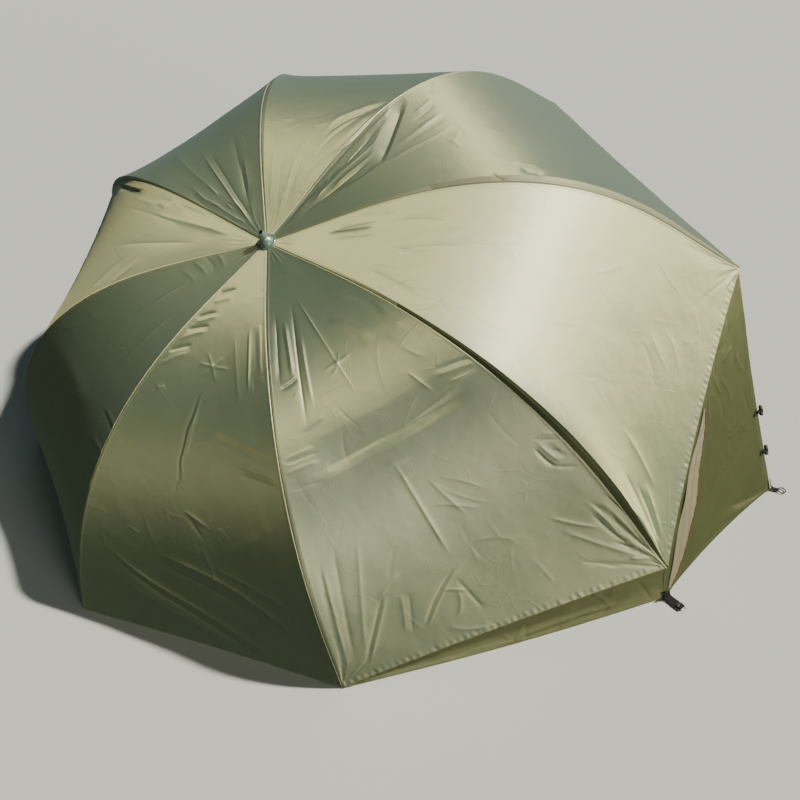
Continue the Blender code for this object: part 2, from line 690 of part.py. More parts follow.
OUT = Vector((-0.0030, 0.0, -0.0040))
PANEL_PIVOT = rib_top(6, RIB_LENGTH["side"])
rows = []
ts = [-0.92 + 0.92 * k / 6 for k in range(6)] + [k / 7 for k in range(8)]
for v in range(5):
    row = []
    for t in ts:
        top, low = rim_point(t) + OUT, ground_point(t)
        row.append(top * (1 - v / 4) + low * (v / 4))
    rows.append(row)
panel_left = sheet("side_panel_left", rows, 0.0014, PANEL_PIVOT, PANEL_CLOTH, flip=True)


def tab(name, at, peg, inward):
    """Webbing tab from a ground corner of the panel out past its peg, with an eye for the peg."""
    run = Vector((peg.x - at.x, peg.y - at.y, 0.0))
    reach = run.length
    run.normalize()
    m = Matrix((run, Vector((0, 0, 1)).cross(run), Vector((0, 0, 1)))).transposed().to_4x4()
    m.translation = Vector((at.x, at.y, 0.0050)) + run * ((reach + 0.012 - inward) / 2)
    o = block(name, (reach + 0.012 + inward, 0.024, 0.0022), m)
    boolean(o, rod(name + "_eye", 0.0042, 0.02, Matrix.Translation((peg.x, peg.y, 0.0050)), 10))
    return o


boolean(panel_left, tab("tab_back", WING_BACK, PEG_BACK, 0.006), "UNION")
boolean(panel_left, tab("tab_front", WING_FRONT, LOOP_FRONT, 0.004), "UNION")
mirrored("side_panel_right", panel_left, PANEL_CLOTH)

# toggles on the panel's front edge
front_top = rim_point(1.0) + OUT
edge_run = (WING_FRONT - front_top).normalized()
forward = Vector((0.0, -1.0, 0.0))
forward = (forward - edge_run * forward.dot(edge_run)).normalized()
for name, at in zip(("upper", "lower"), TOGGLES_AT):
    m = Matrix((forward, edge_run.cross(forward), edge_run)).transposed().to_4x4()
    m.translation = front_top * (1 - at) + WING_FRONT * at + forward * 0.0066
    body = turned("toggle", [(0.0, 0.0150), (0.0035, 0.0145), (0.0058, 0.0110), (0.0046, 0.0040), (0.0046, -0.0040),
                             (0.0058, -0.0110), (0.0035, -0.0145), (0.0, -0.0150)], 10, IDENTITY)
    mesh = baked(body)
    drop_object(body)
    left = gather(f"toggle_{name}_left", [(mesh, m)], PANEL_PIVOT, BLACK_PLASTIC)
    mirrored(f"toggle_{name}_right", left, BLACK_PLASTIC)


# ---------------------------------------------------------------- pegs
def peg(name, at, side):
    """Bent wire peg: a straight leg down through the loop and a hook turned over it."""
    pts = [Vector((at.x, at.y, -PEG_DEPTH)), Vector((at.x, at.y, -0.06)), Vector((at.x, at.y, 0.010))]
    bend = 0.009
    out = Vector((side, 0.0, 0.0))
    top = Vector((at.x, at.y, 0.012))
    for k in range(1, 9):
        a = math.pi * k / 8
        pts.append(top + out * (bend * (1 - math.cos(a))) + Vector((0, 0, bend * math.sin(a))))
    pts.append(pts[-1] + Vector((0, 0, -0.003)))
    return wire(name, pts, PEG_R, 2, Vector((at.x, at.y, 0.0)), STEEL)


peg("peg_left", PEG_BACK, -1.0)
peg("peg_right", Vector((-PEG_BACK.x, PEG_BACK.y, 0.0)), 1.0)

bpy.context.view_layer.update()
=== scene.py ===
# Looks of the fishing umbrella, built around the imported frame. Metres, in the frame's own axes:
# +Z up, the open front towards -Y, the rear rim on the ground towards +Y.

import bmesh
import bpy
import math
import numpy as np
from mathutils import Matrix, Vector


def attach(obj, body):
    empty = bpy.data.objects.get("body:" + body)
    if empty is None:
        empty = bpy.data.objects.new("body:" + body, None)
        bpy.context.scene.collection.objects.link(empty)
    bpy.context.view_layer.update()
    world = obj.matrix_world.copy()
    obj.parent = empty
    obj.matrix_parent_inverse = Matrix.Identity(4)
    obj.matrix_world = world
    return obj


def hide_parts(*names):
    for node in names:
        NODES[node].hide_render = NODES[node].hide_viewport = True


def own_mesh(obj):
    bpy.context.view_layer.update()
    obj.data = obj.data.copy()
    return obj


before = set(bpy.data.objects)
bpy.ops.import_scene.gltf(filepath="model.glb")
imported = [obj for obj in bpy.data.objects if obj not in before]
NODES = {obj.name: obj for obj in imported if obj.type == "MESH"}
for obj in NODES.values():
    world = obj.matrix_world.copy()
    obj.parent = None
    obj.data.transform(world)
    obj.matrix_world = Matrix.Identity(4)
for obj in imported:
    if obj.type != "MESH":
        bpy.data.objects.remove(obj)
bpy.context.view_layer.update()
SCENE = bpy.context.scene
RNG = np.random.default_rng(20)

# ---------------------------------------------------------------- camera
CAM = np.array((-1.6487, 1.6660, 1.9379))
CAM_R = np.array((-0.73993, -0.67262, -0.00939))
CAM_U = np.array((0.41941, -0.47220, 0.77532))
CAM_F = np.array((0.52593, -0.56974, -0.63150))
FOCAL = 970.14          # in pixels of an 800 pixel frame

cam_data = bpy.data.cameras.new("camera")
cam_data.sensor_width = 36.0
cam_data.lens = FOCAL / 800 * 36.0
cam_data.clip_end = 200
camera = bpy.data.objects.new("camera", cam_data)
SCENE.collection.objects.link(camera)
m = Matrix((CAM_R, CAM_U, -CAM_F)).transposed().to_4x4()
m.translation = CAM
camera.matrix_world = m
SCENE.camera = camera


def to_px(p):
    d = p - CAM
    z = d @ CAM_F
    return 400 + FOCAL * (d @ CAM_R) / z, 400 - FOCAL * (d @ CAM_U) / z


# ---------------------------------------------------------------- the shape, as the model has it
HUB_HEIGHT = 0.744
TILT = 0.444
PLACE = {4: "rear", 3: "rear_side", 5: "rear_side", 2: "side", 6: "side", 1: "front_side", 7: "front_side", 8: "front"}
LENGTH = {"rear": 1.069, "rear_side": 1.161, "side": 1.359, "front_side": 1.326, "front": 1.289}
FLEX = {"rear": -0.020, "rear_side": 0.095, "side": 0.044, "front_side": -0.070, "front": -0.049}
PULL = {"rear": 0.0, "rear_side": 0.044, "side": 0.026, "front_side": 0.032, "front": 0.0}
SLOPE = (-0.061, -0.572, 3.398, -1.783)
PULL_START, PULL_POWER = 0.34, 1.8
# how far each panel sinks between its ribs, and the power that sets where along the rib it is deepest
HOLLOWS = {1: (0.008, 0), 2: (0.013, 0), 3: (0.012, 0), 4: (0.006, 0), 5: (0.014, 1.6), 6: (0.003, 0), 7: (0.004, 0),
           8: (0.001, 0)}
RIM_IN = {1: 0.012, 6: 0.012}     # how far the rim curves in between the rib tips
START_R = 0.030

N = np.array((0.0, math.sin(TILT), math.cos(TILT)))
REAR = np.array((0.0, math.cos(TILT), -math.sin(TILT)))
SIDE = np.array((1.0, 0.0, 0.0))
HUB = np.array((0.0, HUB_HEIGHT * math.tan(TILT), HUB_HEIGHT))


def azimuth(i):
    return (4 - i) * math.pi / 4


def outward(psi):
    return REAR * math.cos(psi) + SIDE * math.sin(psi)


def tangent(psi):
    return -REAR * math.sin(psi) + SIDE * math.cos(psi)


def rib_length(i):
    return LENGTH[PLACE[i]]


TABLE = {}
for i in range(1, 9):
    length, flex = rib_length(i), FLEX[PLACE[i]]
    s = np.linspace(0, length, 481)
    mid = (s[1:] + s[:-1]) / 2
    a = SLOPE[0] + SLOPE[1] * mid + (SLOPE[2] + flex) * mid ** 2 + SLOPE[3] * mid ** 3
    ds = length / 480
    TABLE[i] = (s, START_R + np.concatenate([[0], np.cumsum(np.cos(a) * ds)]),
                -np.concatenate([[0], np.cumsum(np.sin(a) * ds)]),
                SLOPE[0] + SLOPE[1] * s + (SLOPE[2] + flex) * s ** 2 + SLOPE[3] * s ** 3)


def rib(i, s):
    """Points and slopes of the cloth's top over rib i."""
    s = np.asarray(s, float)
    ts, r, h, a = TABLE[i]
    psi = azimuth(i)
    p = HUB + outward(psi) * np.interp(s, ts, r)[..., None] + N * np.interp(s, ts, h)[..., None]
    bend = PULL[PLACE[i]]
    if bend:
        u = np.clip((s - PULL_START) / (rib_length(i) - PULL_START), 0, None)
        p = p + tangent(psi) * (bend * u ** PULL_POWER * (1 if psi < 0 else -1))[..., None]
    return p, np.interp(s, ts, a)


def unit(v):
    return v / np.maximum(np.linalg.norm(v, axis=-1, keepdims=True), 1e-12)


def panel(i, j, u, t):
    """Points and outward normals of the plain canopy between ribs i and j."""
    u = u * (1 - RIM_IN.get(i, 0.005) / 1.3 * np.sin(np.pi * np.clip(t, 0, 1)) ** 0.8 * u ** 3)
    pi, ai = rib(i, u * rib_length(i))
    pj, aj = rib(j, u * rib_length(j))
    p = pi * (1 - t)[..., None] + pj * t[..., None]
    slope = ai * (1 - t) + aj * t
    radial = p - HUB
    radial = unit(radial - N * (radial @ N)[..., None])
    normal = radial * np.sin(slope)[..., None] + N * np.cos(slope)[..., None]
    deep, power = HOLLOWS[i]
    if power:
        run = deep * np.sin(np.pi * np.clip(u, 0, 1) ** power) + 0.002 * u ** 2
    else:
        run = deep * np.sin(np.pi / 2 * np.minimum(1, 1.2 * u))
    depth = 4 * t * (1 - t) * run
    return p - normal * depth[..., None], normal


def grid_normals(p, like):
    """Normals of a grid of points, turned to the side of the vectors in like."""
    a = np.gradient(p, axis=0)
    b = np.gradient(p, axis=1)
    n = unit(np.cross(a, b))
    s = np.sign((n * like).sum(-1, keepdims=True))
    s[s == 0] = 1
    return n * s


def smoothstep(a, b, x):
    t = np.clip((x - a) / (b - a), 0, 1)
    return t * t * (3 - 2 * t)


def value_noise(x, y, seed):
    """Smooth noise in -1..1 on the plane."""
    rng = np.random.default_rng(seed)
    lattice = rng.uniform(-1, 1, (64, 64))
    xi, yi = np.floor(x).astype(int), np.floor(y).astype(int)
    fx, fy = x - xi, y - yi
    fx, fy = fx * fx * (3 - 2 * fx), fy * fy * (3 - 2 * fy)
    g = lambda ix, iy: lattice[ix % 64, iy % 64]
    return ((g(xi, yi) * (1 - fx) + g(xi + 1, yi) * fx) * (1 - fy)
            + (g(xi, yi + 1) * (1 - fx) + g(xi + 1, yi + 1) * fx) * fy)


# ---------------------------------------------------------------- folds
# Each fold follows a line given where the camera sees it: points, half width in pixels, height in millimetres,
# and its kind: r a ridge or, below zero, a valley; t a ridge with flat flanks of two widths, left and right of the
# line; p a pair with the ridge on the left of the line.
FOLDS = {
    "8-1": [
        ([(322, 138), (334, 120), (349, 113.5), (370, 106), (389, 99)], (4.0, 2.6), 2.6, "t"),
        ([(324, 138), (337, 125), (350, 118), (369, 111), (394, 98)], 2.2, -3.4, "r"),
        ([(300, 176), (318, 152), (330, 138), (349, 123), (373, 109)], 1.6, -2.2, "r"),
        ([(297, 178), (315, 152), (328, 136), (346, 122), (370, 109)], 2.0, 1.4, "r"),
        ([(308, 181), (326, 158), (341, 145), (362, 124), (381, 108)], 1.6, -2.4, "r"),
        ([(304, 180), (323, 156), (338, 142), (359, 122), (379, 107)], 1.9, 1.5, "r"),
        ([(313, 179), (333, 157), (349, 144), (368, 124), (387, 105)], 1.6, -2.6, "r"),
        ([(318, 176), (338, 153), (354, 136), (374, 116), (391, 103)], 1.8, 1.7, "r"),
        ([(288, 216), (305, 190), (322, 168), (345, 145), (370, 120)], 1.9, 1.4, "r"),
        ([(275, 223), (286, 188), (295, 163), (309, 129)], 1.8, 1.5, "r"),
        ([(279, 223), (290, 190), (300, 165), (314, 132)], 1.9, -1.1, "r"),
        ([(291, 196), (300, 172), (306, 150)], 1.6, 0.9, "r"),
        ([(283, 205), (290, 180), (297, 140)], 1.8, 0.7, "r"),
        ([(270, 215), (272, 170), (276, 120)], 2.0, 0.7, "r"),
        ([(276, 216), (280, 170), (287, 125)], 2.0, -0.7, "r"),
        ([(312, 126), (330, 122), (342, 112)], 2.2, 0.8, "r"),
        ([(303, 118), (322, 116), (345, 104)], 2.4, -0.6, "r"),
        ([(300, 100), (340, 97), (380, 92)], 5.0, 0.8, "r"),
        ([(306, 142), (311, 134), (313, 124)], 1.5, 0.6, "r"),
        ([(286, 132), (292, 126), (304, 122)], 1.5, 0.5, "r"),
    ],
    "7-8": [
        ([(279, 232), (297, 208), (316, 189), (336, 172), (357, 152), (380, 125), (398, 101)], 1.7, -3.4, "r"),
        ([(290, 221), (312, 196), (335, 173), (357, 148), (380, 120), (397, 101)], 1.6, 3.0, "r"),
        ([(296, 215), (314, 195), (331, 177), (347, 158), (363, 141), (376, 126), (388, 113)], 1.7, -3.6, "r"),
        ([(306, 209), (322, 192), (339, 175), (356, 160), (371, 147), (382, 131)], 1.8, 3.4, "r"),
        ([(318, 194), (328, 184), (345, 166), (362, 151), (379, 138)], 1.6, -3.4, "r"),
        ([(331, 189), (348, 174), (364, 162), (377, 150)], 1.9, 2.8, "r"),
        ([(312, 206), (322, 198), (341, 184), (356, 172), (374, 157)], 1.6, -3.0, "r"),
        ([(299, 219), (313, 205), (330, 193), (349, 183), (362, 175), (376, 165), (382, 157)], (6.0, 2.0), -3.6, "t"),
        ([(377, 167), (386, 148), (393, 130), (399, 114), (405, 97)], (12.0, 4.5), -8.5, "t"),
        ([(275, 236), (297, 206), (320, 180), (340, 157), (360, 135), (380, 116), (400, 98)], 1.4, -1.8, "r"),
        ([(384, 165), (406, 151), (434, 137), (458, 122)], 1.8, 1.5, "r"),
        ([(390, 150), (412, 135), (433, 119), (446, 108)], 1.8, 1.4, "r"),
        ([(408, 136), (426, 123), (443, 111)], 1.7, 1.2, "r"),
        ([(402, 146), (424, 131), (448, 117)], 1.7, -1.0, "r"),
        ([(414, 112), (424, 106), (433, 96)], 1.8, 1.3, "r"),
        ([(412, 122), (424, 114), (436, 103)], 1.8, -1.1, "r"),
        ([(418, 130), (432, 121), (446, 112)], 1.7, 1.0, "r"),
        ([(430, 96), (434, 86), (436, 80)], 1.5, -1.2, "r"),
        ([(333, 190), (377, 166), (430, 138)], 3.0, 0.9, "r"),
        ([(446, 138), (454, 141), (464, 150)], 1.5, 0.6, "r"),
        ([(450, 146), (456, 139), (460, 128)], 1.5, 0.6, "r"),
        ([(455, 120), (466, 134), (472, 142)], 1.6, 0.6, "r"),
        ([(520, 168), (531, 172), (545, 174)], 2.6, -3.4, "r"),
        ([(512, 164), (526, 163), (544, 168)], 2.4, 1.6, "r"),
        ([(490, 173), (497, 177), (505, 181)], 1.8, -2.6, "r"),
        ([(636, 188), (650, 194), (664, 204)], 1.8, 1.6, "r"),
        ([(655, 205), (680, 226), (705, 244)], 2.2, -1.4, "r"),
        ([(668, 210), (690, 226), (712, 246)], 1.8, 1.4, "r"),
    ],
    "1-2": [
        ([(200, 150), (216, 174), (227, 190), (238, 206), (247, 217), (255, 229)], 1.7, 2.2, "r"),
        ([(208, 150), (223, 174), (234, 192), (246, 210), (255, 224)], 1.9, -1.4, "r"),
        ([(195, 191), (200, 195), (207, 200)], 1.4, 1.4, "r"),
        ([(207, 185), (213, 190), (219, 197)], 1.4, 1.5, "r"),
        ([(210, 203), (216, 205), (222, 207)], 1.3, 1.5, "r"),
        ([(226, 204), (230, 207), (233, 209)], 1.2, 1.2, "r"),
        ([(232, 218), (239, 219), (246, 223)], 1.3, 1.3, "r"),
        ([(238, 227), (246, 229), (254, 231)], 1.3, 1.1, "r"),
        ([(241, 160), (243, 180), (247, 200)], 2.4, -1.4, "r"),
        ([(196, 196), (214, 203), (226, 212), (246, 224)], 2.0, 1.5, "r"),
        ([(188, 190), (206, 208), (226, 220)], 2.2, -1.0, "r"),
        ([(226, 196), (240, 206), (252, 226)], 2.0, 1.2, "r"),
        ([(243, 150), (249, 190), (256, 228)], 2.4, 1.2, "r"),
        ([(232, 130), (240, 170), (252, 215)], 3.0, -1.2, "r"),
        ([(220, 206), (228, 200), (238, 208)], 1.8, 1.2, "r"),
        ([(170, 150), (196, 176), (226, 200)], 3.5, 0.9, "r"),
    ],
    "2-3": [
        ([(116, 184), (124, 187), (133, 190), (147, 191)], (1.6, 3.0), -7.0, "t"),
        ([(152, 212), (166, 217), (185, 223), (203, 228), (234, 236)], 1.9, -2.6, "r"),
        ([(170, 201), (177, 206), (185, 210)], 2.2, -2.4, "r"),
        ([(156, 202), (160, 205), (165, 208)], 1.6, -1.8, "r"),
        ([(150, 196), (185, 208), (215, 222)], 3.0, 1.8, "r"),
        ([(120, 205), (150, 214), (185, 226)], 4.0, 1.4, "r"),
        ([(126, 196), (140, 199), (158, 206)], 3.0, -1.6, "r"),
        ([(107, 246), (150, 243), (200, 243)], 3.6, 1.4, "r"),
        ([(85, 295), (105, 275), (128, 255)], 2.4, 1.4, "r"),
        ([(92, 300), (118, 276), (142, 258)], 2.4, -1.0, "r"),
        ([(100, 232), (120, 258), (112, 262)], 3.0, 0.6, "r"),
    ],
    "3-4": [
        ([(130, 317), (158, 300), (192, 280)], 1.7, 1.4, "r"),
        ([(112, 370), (144, 340), (177, 310)], 1.6, 1.2, "r"),
        ([(193, 262), (203, 268), (206, 276)], 2.6, 1.6, "r"),
        ([(214, 252), (222, 258), (224, 268)], 2.6, 1.6, "r"),
        ([(203, 257), (212, 262), (214, 272)], 2.4, -1.2, "r"),
        ([(180, 270), (192, 276), (196, 284)], 3.0, 1.0, "r"),
        ([(92, 437), (97, 448), (104, 458)], 2.6, 1.4, "p"),
        ([(104, 408), (110, 420), (114, 432)], 2.6, 1.2, "p"),
        ([(84, 470), (88, 484), (92, 500)], 3.0, 1.2, "p"),
        ([(52, 330), (78, 380), (92, 430)], 8.0, 1.6, "r"),
    ],
    "4-5": [
        ([(196, 318), (206, 314), (218, 312)], 1.7, -3.2, "r"),
        ([(194, 323), (206, 319), (220, 316)], 1.8, 1.4, "r"),
        ([(186, 330), (198, 327), (210, 326)], 1.8, -3.2, "r"),
        ([(178, 340), (192, 334), (208, 331)], 1.8, 1.5, "r"),
        ([(218, 294), (226, 291), (237, 289)], 1.8, -3.0, "r"),
        ([(212, 303), (222, 300), (234, 297)], 2.2, 1.6, "r"),
        ([(168, 351), (180, 347), (193, 345)], 1.9, -3.0, "r"),
        ([(158, 366), (172, 358), (190, 352)], 2.4, 1.6, "r"),
        ([(250, 326), (249, 360), (248, 396)], (2.2, 2.4), 2.0, "t"),
        ([(254, 326), (254, 362), (255, 400)], (2.0, 2.2), -1.8, "t"),
        ([(259, 318), (260, 350), (260, 384)], (2.2, 2.0), 1.8, "t"),
        ([(235, 330), (236, 370), (240, 410)], 3.0, 1.0, "r"),
        ([(208, 385), (200, 399), (196, 415), (189, 430), (186, 446), (181, 463), (183, 477), (177, 492)], 1.5, 1.8, "r"),
        ([(205, 384), (197, 399), (193, 414), (186, 428), (183, 446), (178, 462), (180, 476), (174, 490), (172, 506)], 1.5, -1.5, "r"),
        ([(198, 407), (190, 436), (185, 462)], 1.5, 1.3, "r"),
        ([(200, 378), (213, 367), (226, 356)], 1.6, 1.3, "r"),
        ([(196, 362), (213, 367), (232, 370)], 1.5, 1.2, "r"),
        ([(207, 350), (213, 367), (216, 384)], 1.5, 1.0, "r"),
        ([(156, 386), (160, 388), (166, 386)], 2.6, 1.6, "r"),
        ([(182, 510), (196, 519), (210, 530)], 1.6, 1.4, "r"),
        ([(186, 512), (195, 528), (204, 540)], 1.6, -1.0, "r"),
        ([(205, 425), (236, 440), (272, 458)], 3.0, 1.6, "r"),
        ([(213, 436), (244, 452), (275, 468)], 3.0, -1.6, "r"),
        ([(230, 462), (255, 472), (278, 480)], 2.8, 1.6, "r"),
        ([(236, 474), (260, 482), (280, 490)], 2.8, -1.4, "r"),
        ([(103, 543), (143, 577), (207, 613), (280, 662)], 2.6, 4.2, "r"),
        ([(108, 552), (146, 586), (205, 622), (270, 664)], 3.4, -3.8, "r"),
        ([(150, 550), (220, 580), (273, 617), (302, 642)], 3.0, 3.2, "r"),
        ([(146, 558), (214, 590), (268, 626)], 3.6, -1.8, "r"),
        ([(203, 563), (250, 586), (296, 615)], 3.0, 1.6, "r"),
        ([(110, 572), (170, 611), (247, 650)], 4.0, 1.8, "r"),
        ([(200, 545), (214, 575), (222, 600)], 1.6, 0.9, "r"),
        ([(104, 420), (140, 445), (150, 470)], 5.0, 0.9, "r"),
        ([(276, 520), (250, 545), (215, 560)], 6.0, 1.0, "r"),
    ],
    "5-6": [
        ([(293, 293), (318, 333), (337, 363), (360, 400)], 1.6, 1.7, "r"),
        ([(322, 372), (337, 363), (352, 352)], 1.6, 1.0, "r"),
        ([(330, 378), (338, 366), (338, 350)], 1.5, 0.9, "r"),
        ([(284, 318), (289, 350), (293, 378), (295, 382)], (3.4, 3.8), 2.6, "t"),
        ([(275, 312), (277, 350), (280, 390)], 2.0, -3.2, "r"),
        ([(291, 300), (296, 350), (303, 400), (308, 432)], 2.0, -3.2, "r"),
        ([(300, 330), (306, 370), (314, 412)], (2.6, 4.0), 1.8, "t"),
        ([(279, 390), (289, 385), (298, 378)], 1.5, -3.4, "r"),
        ([(280, 387), (289, 382), (297, 375)], 1.3, 1.2, "r"),
        ([(283, 461), (298, 454), (316, 446)], 1.7, 1.5, "r"),
        ([(283, 466), (300, 458), (320, 451)], 1.7, -1.5, "r"),
        ([(284, 475), (300, 468), (322, 460)], 1.8, 1.5, "r"),
        ([(288, 492), (306, 486), (326, 480)], 3.0, -1.2, "r"),
        ([(300, 432), (312, 424), (326, 414)], 2.6, 1.4, "r"),
        ([(300, 482), (350, 455), (400, 430), (478, 384)], (30.0, 12.0), -6.0, "t"),
        ([(330, 470), (390, 436), (440, 400), (476, 366)], (9.0, 10.0), 2.4, "t"),
        ([(388, 462), (396, 465), (424, 512), (452, 558)], 1.5, 2.4, "r"),
        ([(386, 464), (396, 462), (410, 458)], 1.6, 1.2, "r"),
        ([(425, 477), (446, 496), (468, 516)], 1.7, 1.1, "r"),
        ([(436, 476), (462, 480), (486, 488)], 1.7, 0.9, "r"),
        ([(430, 505), (450, 504), (480, 508)], 1.7, 0.8, "r"),
        ([(432, 372), (452, 363), (474, 357)], 1.6, -2.0, "r"),
        ([(434, 377), (455, 369), (477, 361)], 1.6, 2.0, "r"),
        ([(405, 370), (418, 380), (434, 392)], 1.7, 1.3, "r"),
        ([(397, 322), (410, 331), (426, 343)], 2.2, -1.8, "r"),
        ([(384, 336), (404, 348), (426, 358)], 3.0, 1.2, "r"),
        ([(370, 300), (392, 316), (412, 330)], 2.6, 1.4, "r"),
        ([(340, 290), (366, 300), (388, 318)], 3.6, -1.4, "r"),
        ([(325, 318), (350, 324), (376, 338)], 4.5, 1.4, "r"),
        ([(540, 438), (547, 445), (556, 452), (566, 456)], 1.5, -3.0, "r"),
        ([(534, 448), (542, 457), (550, 464), (558, 468)], 1.5, -3.0, "r"),
        ([(536, 441), (546, 451), (556, 459), (566, 462)], 1.2, 1.4, "r"),
        ([(536, 432), (545, 434), (556, 433)], 1.2, 1.0, "r"),
        ([(530, 439), (545, 440), (560, 439)], 1.2, -1.0, "r"),
        ([(553, 466), (566, 467), (580, 466)], 1.2, -1.2, "r"),
        ([(448, 383), (462, 377), (478, 369)], 1.4, 1.6, "r"),
        ([(587, 500), (604, 512), (628, 534), (656, 556)], 1.6, -3.4, "r"),
        ([(584, 500), (603, 516), (628, 539), (654, 559)], 1.5, 1.8, "r"),
        ([(590, 512), (610, 532), (632, 547)], 1.5, -2.4, "r"),
        ([(598, 498), (618, 516), (640, 540)], 1.4, 1.4, "r"),
        ([(604, 494), (624, 512), (645, 538)], 1.4, -2.4, "r"),
        ([(610, 541), (634, 549), (656, 561)], 1.6, -3.0, "r"),
        ([(547, 517), (575, 524), (604, 528)], 1.8, 1.4, "r"),
        ([(560, 530), (600, 544), (644, 558)], 2.6, 1.5, "r"),
        ([(628, 559), (641, 558), (654, 558)], 2.0, 1.8, "r"),
        ([(580, 561), (600, 564), (624, 567)], 2.0, -1.4, "r"),
        ([(322, 565), (334, 615), (350, 676)], 1.8, 2.2, "r"),
        ([(318, 560), (331, 620), (348, 674)], 1.8, -2.4, "r"),
        ([(332, 540), (342, 600), (356, 668)], 3.0, -1.8, "r"),
        ([(357, 535), (361, 600), (366, 660)], 2.6, 1.4, "r"),
        ([(387, 592), (378, 630), (369, 668)], 1.8, 1.8, "r"),
        ([(383, 593), (374, 630), (366, 666)], 1.6, -2.6, "r"),
        ([(377, 602), (388, 584), (402, 570)], 2.0, 1.6, "r"),
        ([(400, 592), (404, 612), (406, 634)], 1.6, 1.2, "r"),
        ([(408, 590), (411, 612), (413, 636)], 1.6, -1.2, "r"),
        ([(455, 567), (443, 584), (434, 602), (424, 628)], 1.6, -3.0, "r"),
        ([(458, 567), (446, 586), (437, 604), (427, 630)], 1.6, 1.7, "r"),
        ([(455, 577), (470, 594), (486, 611)], 1.7, -1.6, "r"),
        ([(457, 588), (462, 602), (458, 618)], 1.8, 1.4, "r"),
        ([(440, 590), (455, 589), (470, 591)], 1.7, 1.2, "r"),
        ([(445, 627), (470, 630), (500, 624)], 2.4, 1.1, "r"),
        ([(535, 560), (545, 572), (556, 584)], 2.0, 0.8, "r"),
        ([(470, 540), (510, 536), (520, 548)], 3.0, 0.6, "r"),
    ],
    "6-7": [
        ([(322, 234), (340, 231.5), (356, 229.5), (378, 226)], 1.3, -1.9, "r"),
        ([(322, 230.5), (350, 226.5), (384, 221)], 1.4, 1.0, "r"),
        ([(330, 240), (350, 238), (380, 236)], 3.0, 1.2, "r"),
        ([(350, 222), (374, 215), (400, 214)], 3.0, 0.9, "r"),
        ([(390, 222), (420, 219), (456, 222)], 4.0, 0.8, "r"),
        ([(384, 254), (420, 246), (470, 246)], 4.0, 0.8, "r"),
        ([(364, 268), (400, 284), (430, 304)], 4.0, 1.2, "r"),
        ([(622, 425), (640, 456), (657, 492)], 2.4, 1.4, "r"),
        ([(615, 470), (632, 500), (650, 537)], 2.4, 1.8, "r"),
        ([(622, 466), (638, 498), (655, 536)], 2.0, -1.6, "r"),
        ([(637, 482), (650, 512), (661, 546)], 2.2, -2.6, "r"),
        ([(644, 480), (655, 512), (664, 546)], 2.2, 2.0, "r"),
        ([(630, 505), (645, 525), (658, 548)], 1.8, 1.6, "r"),
        ([(650, 330), (658, 352), (668, 372)], 2.6, 0.8, "r"),
        ([(640, 338), (652, 362), (656, 392)], 2.6, -0.7, "r"),
        ([(664, 326), (676, 350), (680, 380)], 3.0, 0.7, "r"),
        ([(690, 300), (700, 330), (694, 360)], 3.0, 0.6, "r"),
        ([(680, 244), (700, 252), (722, 262)], 2.6, -1.0, "r"),
    ],
}


def fold_field(x, y, folds):
    """Height of the folds, in metres, at pixel places."""
    h = np.zeros_like(x)
    for points, width, tall, kind in folds:
        q = np.array(points, float)
        reach = 1.3 * max(width) if kind == "t" else 4 * width
        near = ((x > q[:, 0].min() - reach) & (x < q[:, 0].max() + reach)
                & (y > q[:, 1].min() - reach) & (y < q[:, 1].max() + reach))
        if not near.any():
            continue
        # round the corners of the line
        for _ in range(2):
            q = np.concatenate([q[:1], np.stack([q[:-1] * 0.75 + q[1:] * 0.25, q[:-1] * 0.25 + q[1:] * 0.75],
                                                1).reshape(-1, 2), q[-1:]])
        px, py = x[near], y[near]
        seg = q[1:] - q[:-1]
        long = np.maximum(np.linalg.norm(seg, axis=1), 1e-6)
        start = np.concatenate([[0], np.cumsum(long)])
        best = np.full(px.shape, 1e9)
        along = np.zeros(px.shape)
        side = np.zeros(px.shape)
        for k in range(len(seg)):
            dx, dy = px - q[k, 0], py - q[k, 1]
            w = np.clip((dx * seg[k, 0] + dy * seg[k, 1]) / long[k] ** 2, 0, 1)
            ex, ey = dx - w * seg[k, 0], dy - w * seg[k, 1]
            d = np.hypot(ex, ey)
            closer = d < best
            best[closer] = d[closer]
            along[closer] = (start[k] + w * long[k])[closer]
            cross = seg[k, 0] * dy - seg[k, 1] * dx
            side[closer] = np.sign(cross)[closer]
        f = along / start[-1]
        run = 0.28 if kind == "t" or width < 6 else 0.48
        taper = np.clip(np.minimum(f, 1 - f) / run, 0, 1)
        taper = taper * taper * (3 - 2 * taper)
        if kind == "t":
            # the image's y runs down, so a positive cross product is the right of the line
            e = best / np.where(side > 0, width[1], width[0])
            shape = np.maximum(0, 1 - e) ** 1.15
        elif kind == "p":
            e = best / width
            shape = 1.6 * e * np.exp(-e * e) * side * -1
        elif width < 4.2:
            e = best / (0.85 * width)
            shape = np.exp(-1.3 * e) * (1 + 0.3 * e)
        else:
            e = best / width
            shape = np.exp(-e * e)
        h[near] += tall / 1000 * taper * shape
    return h


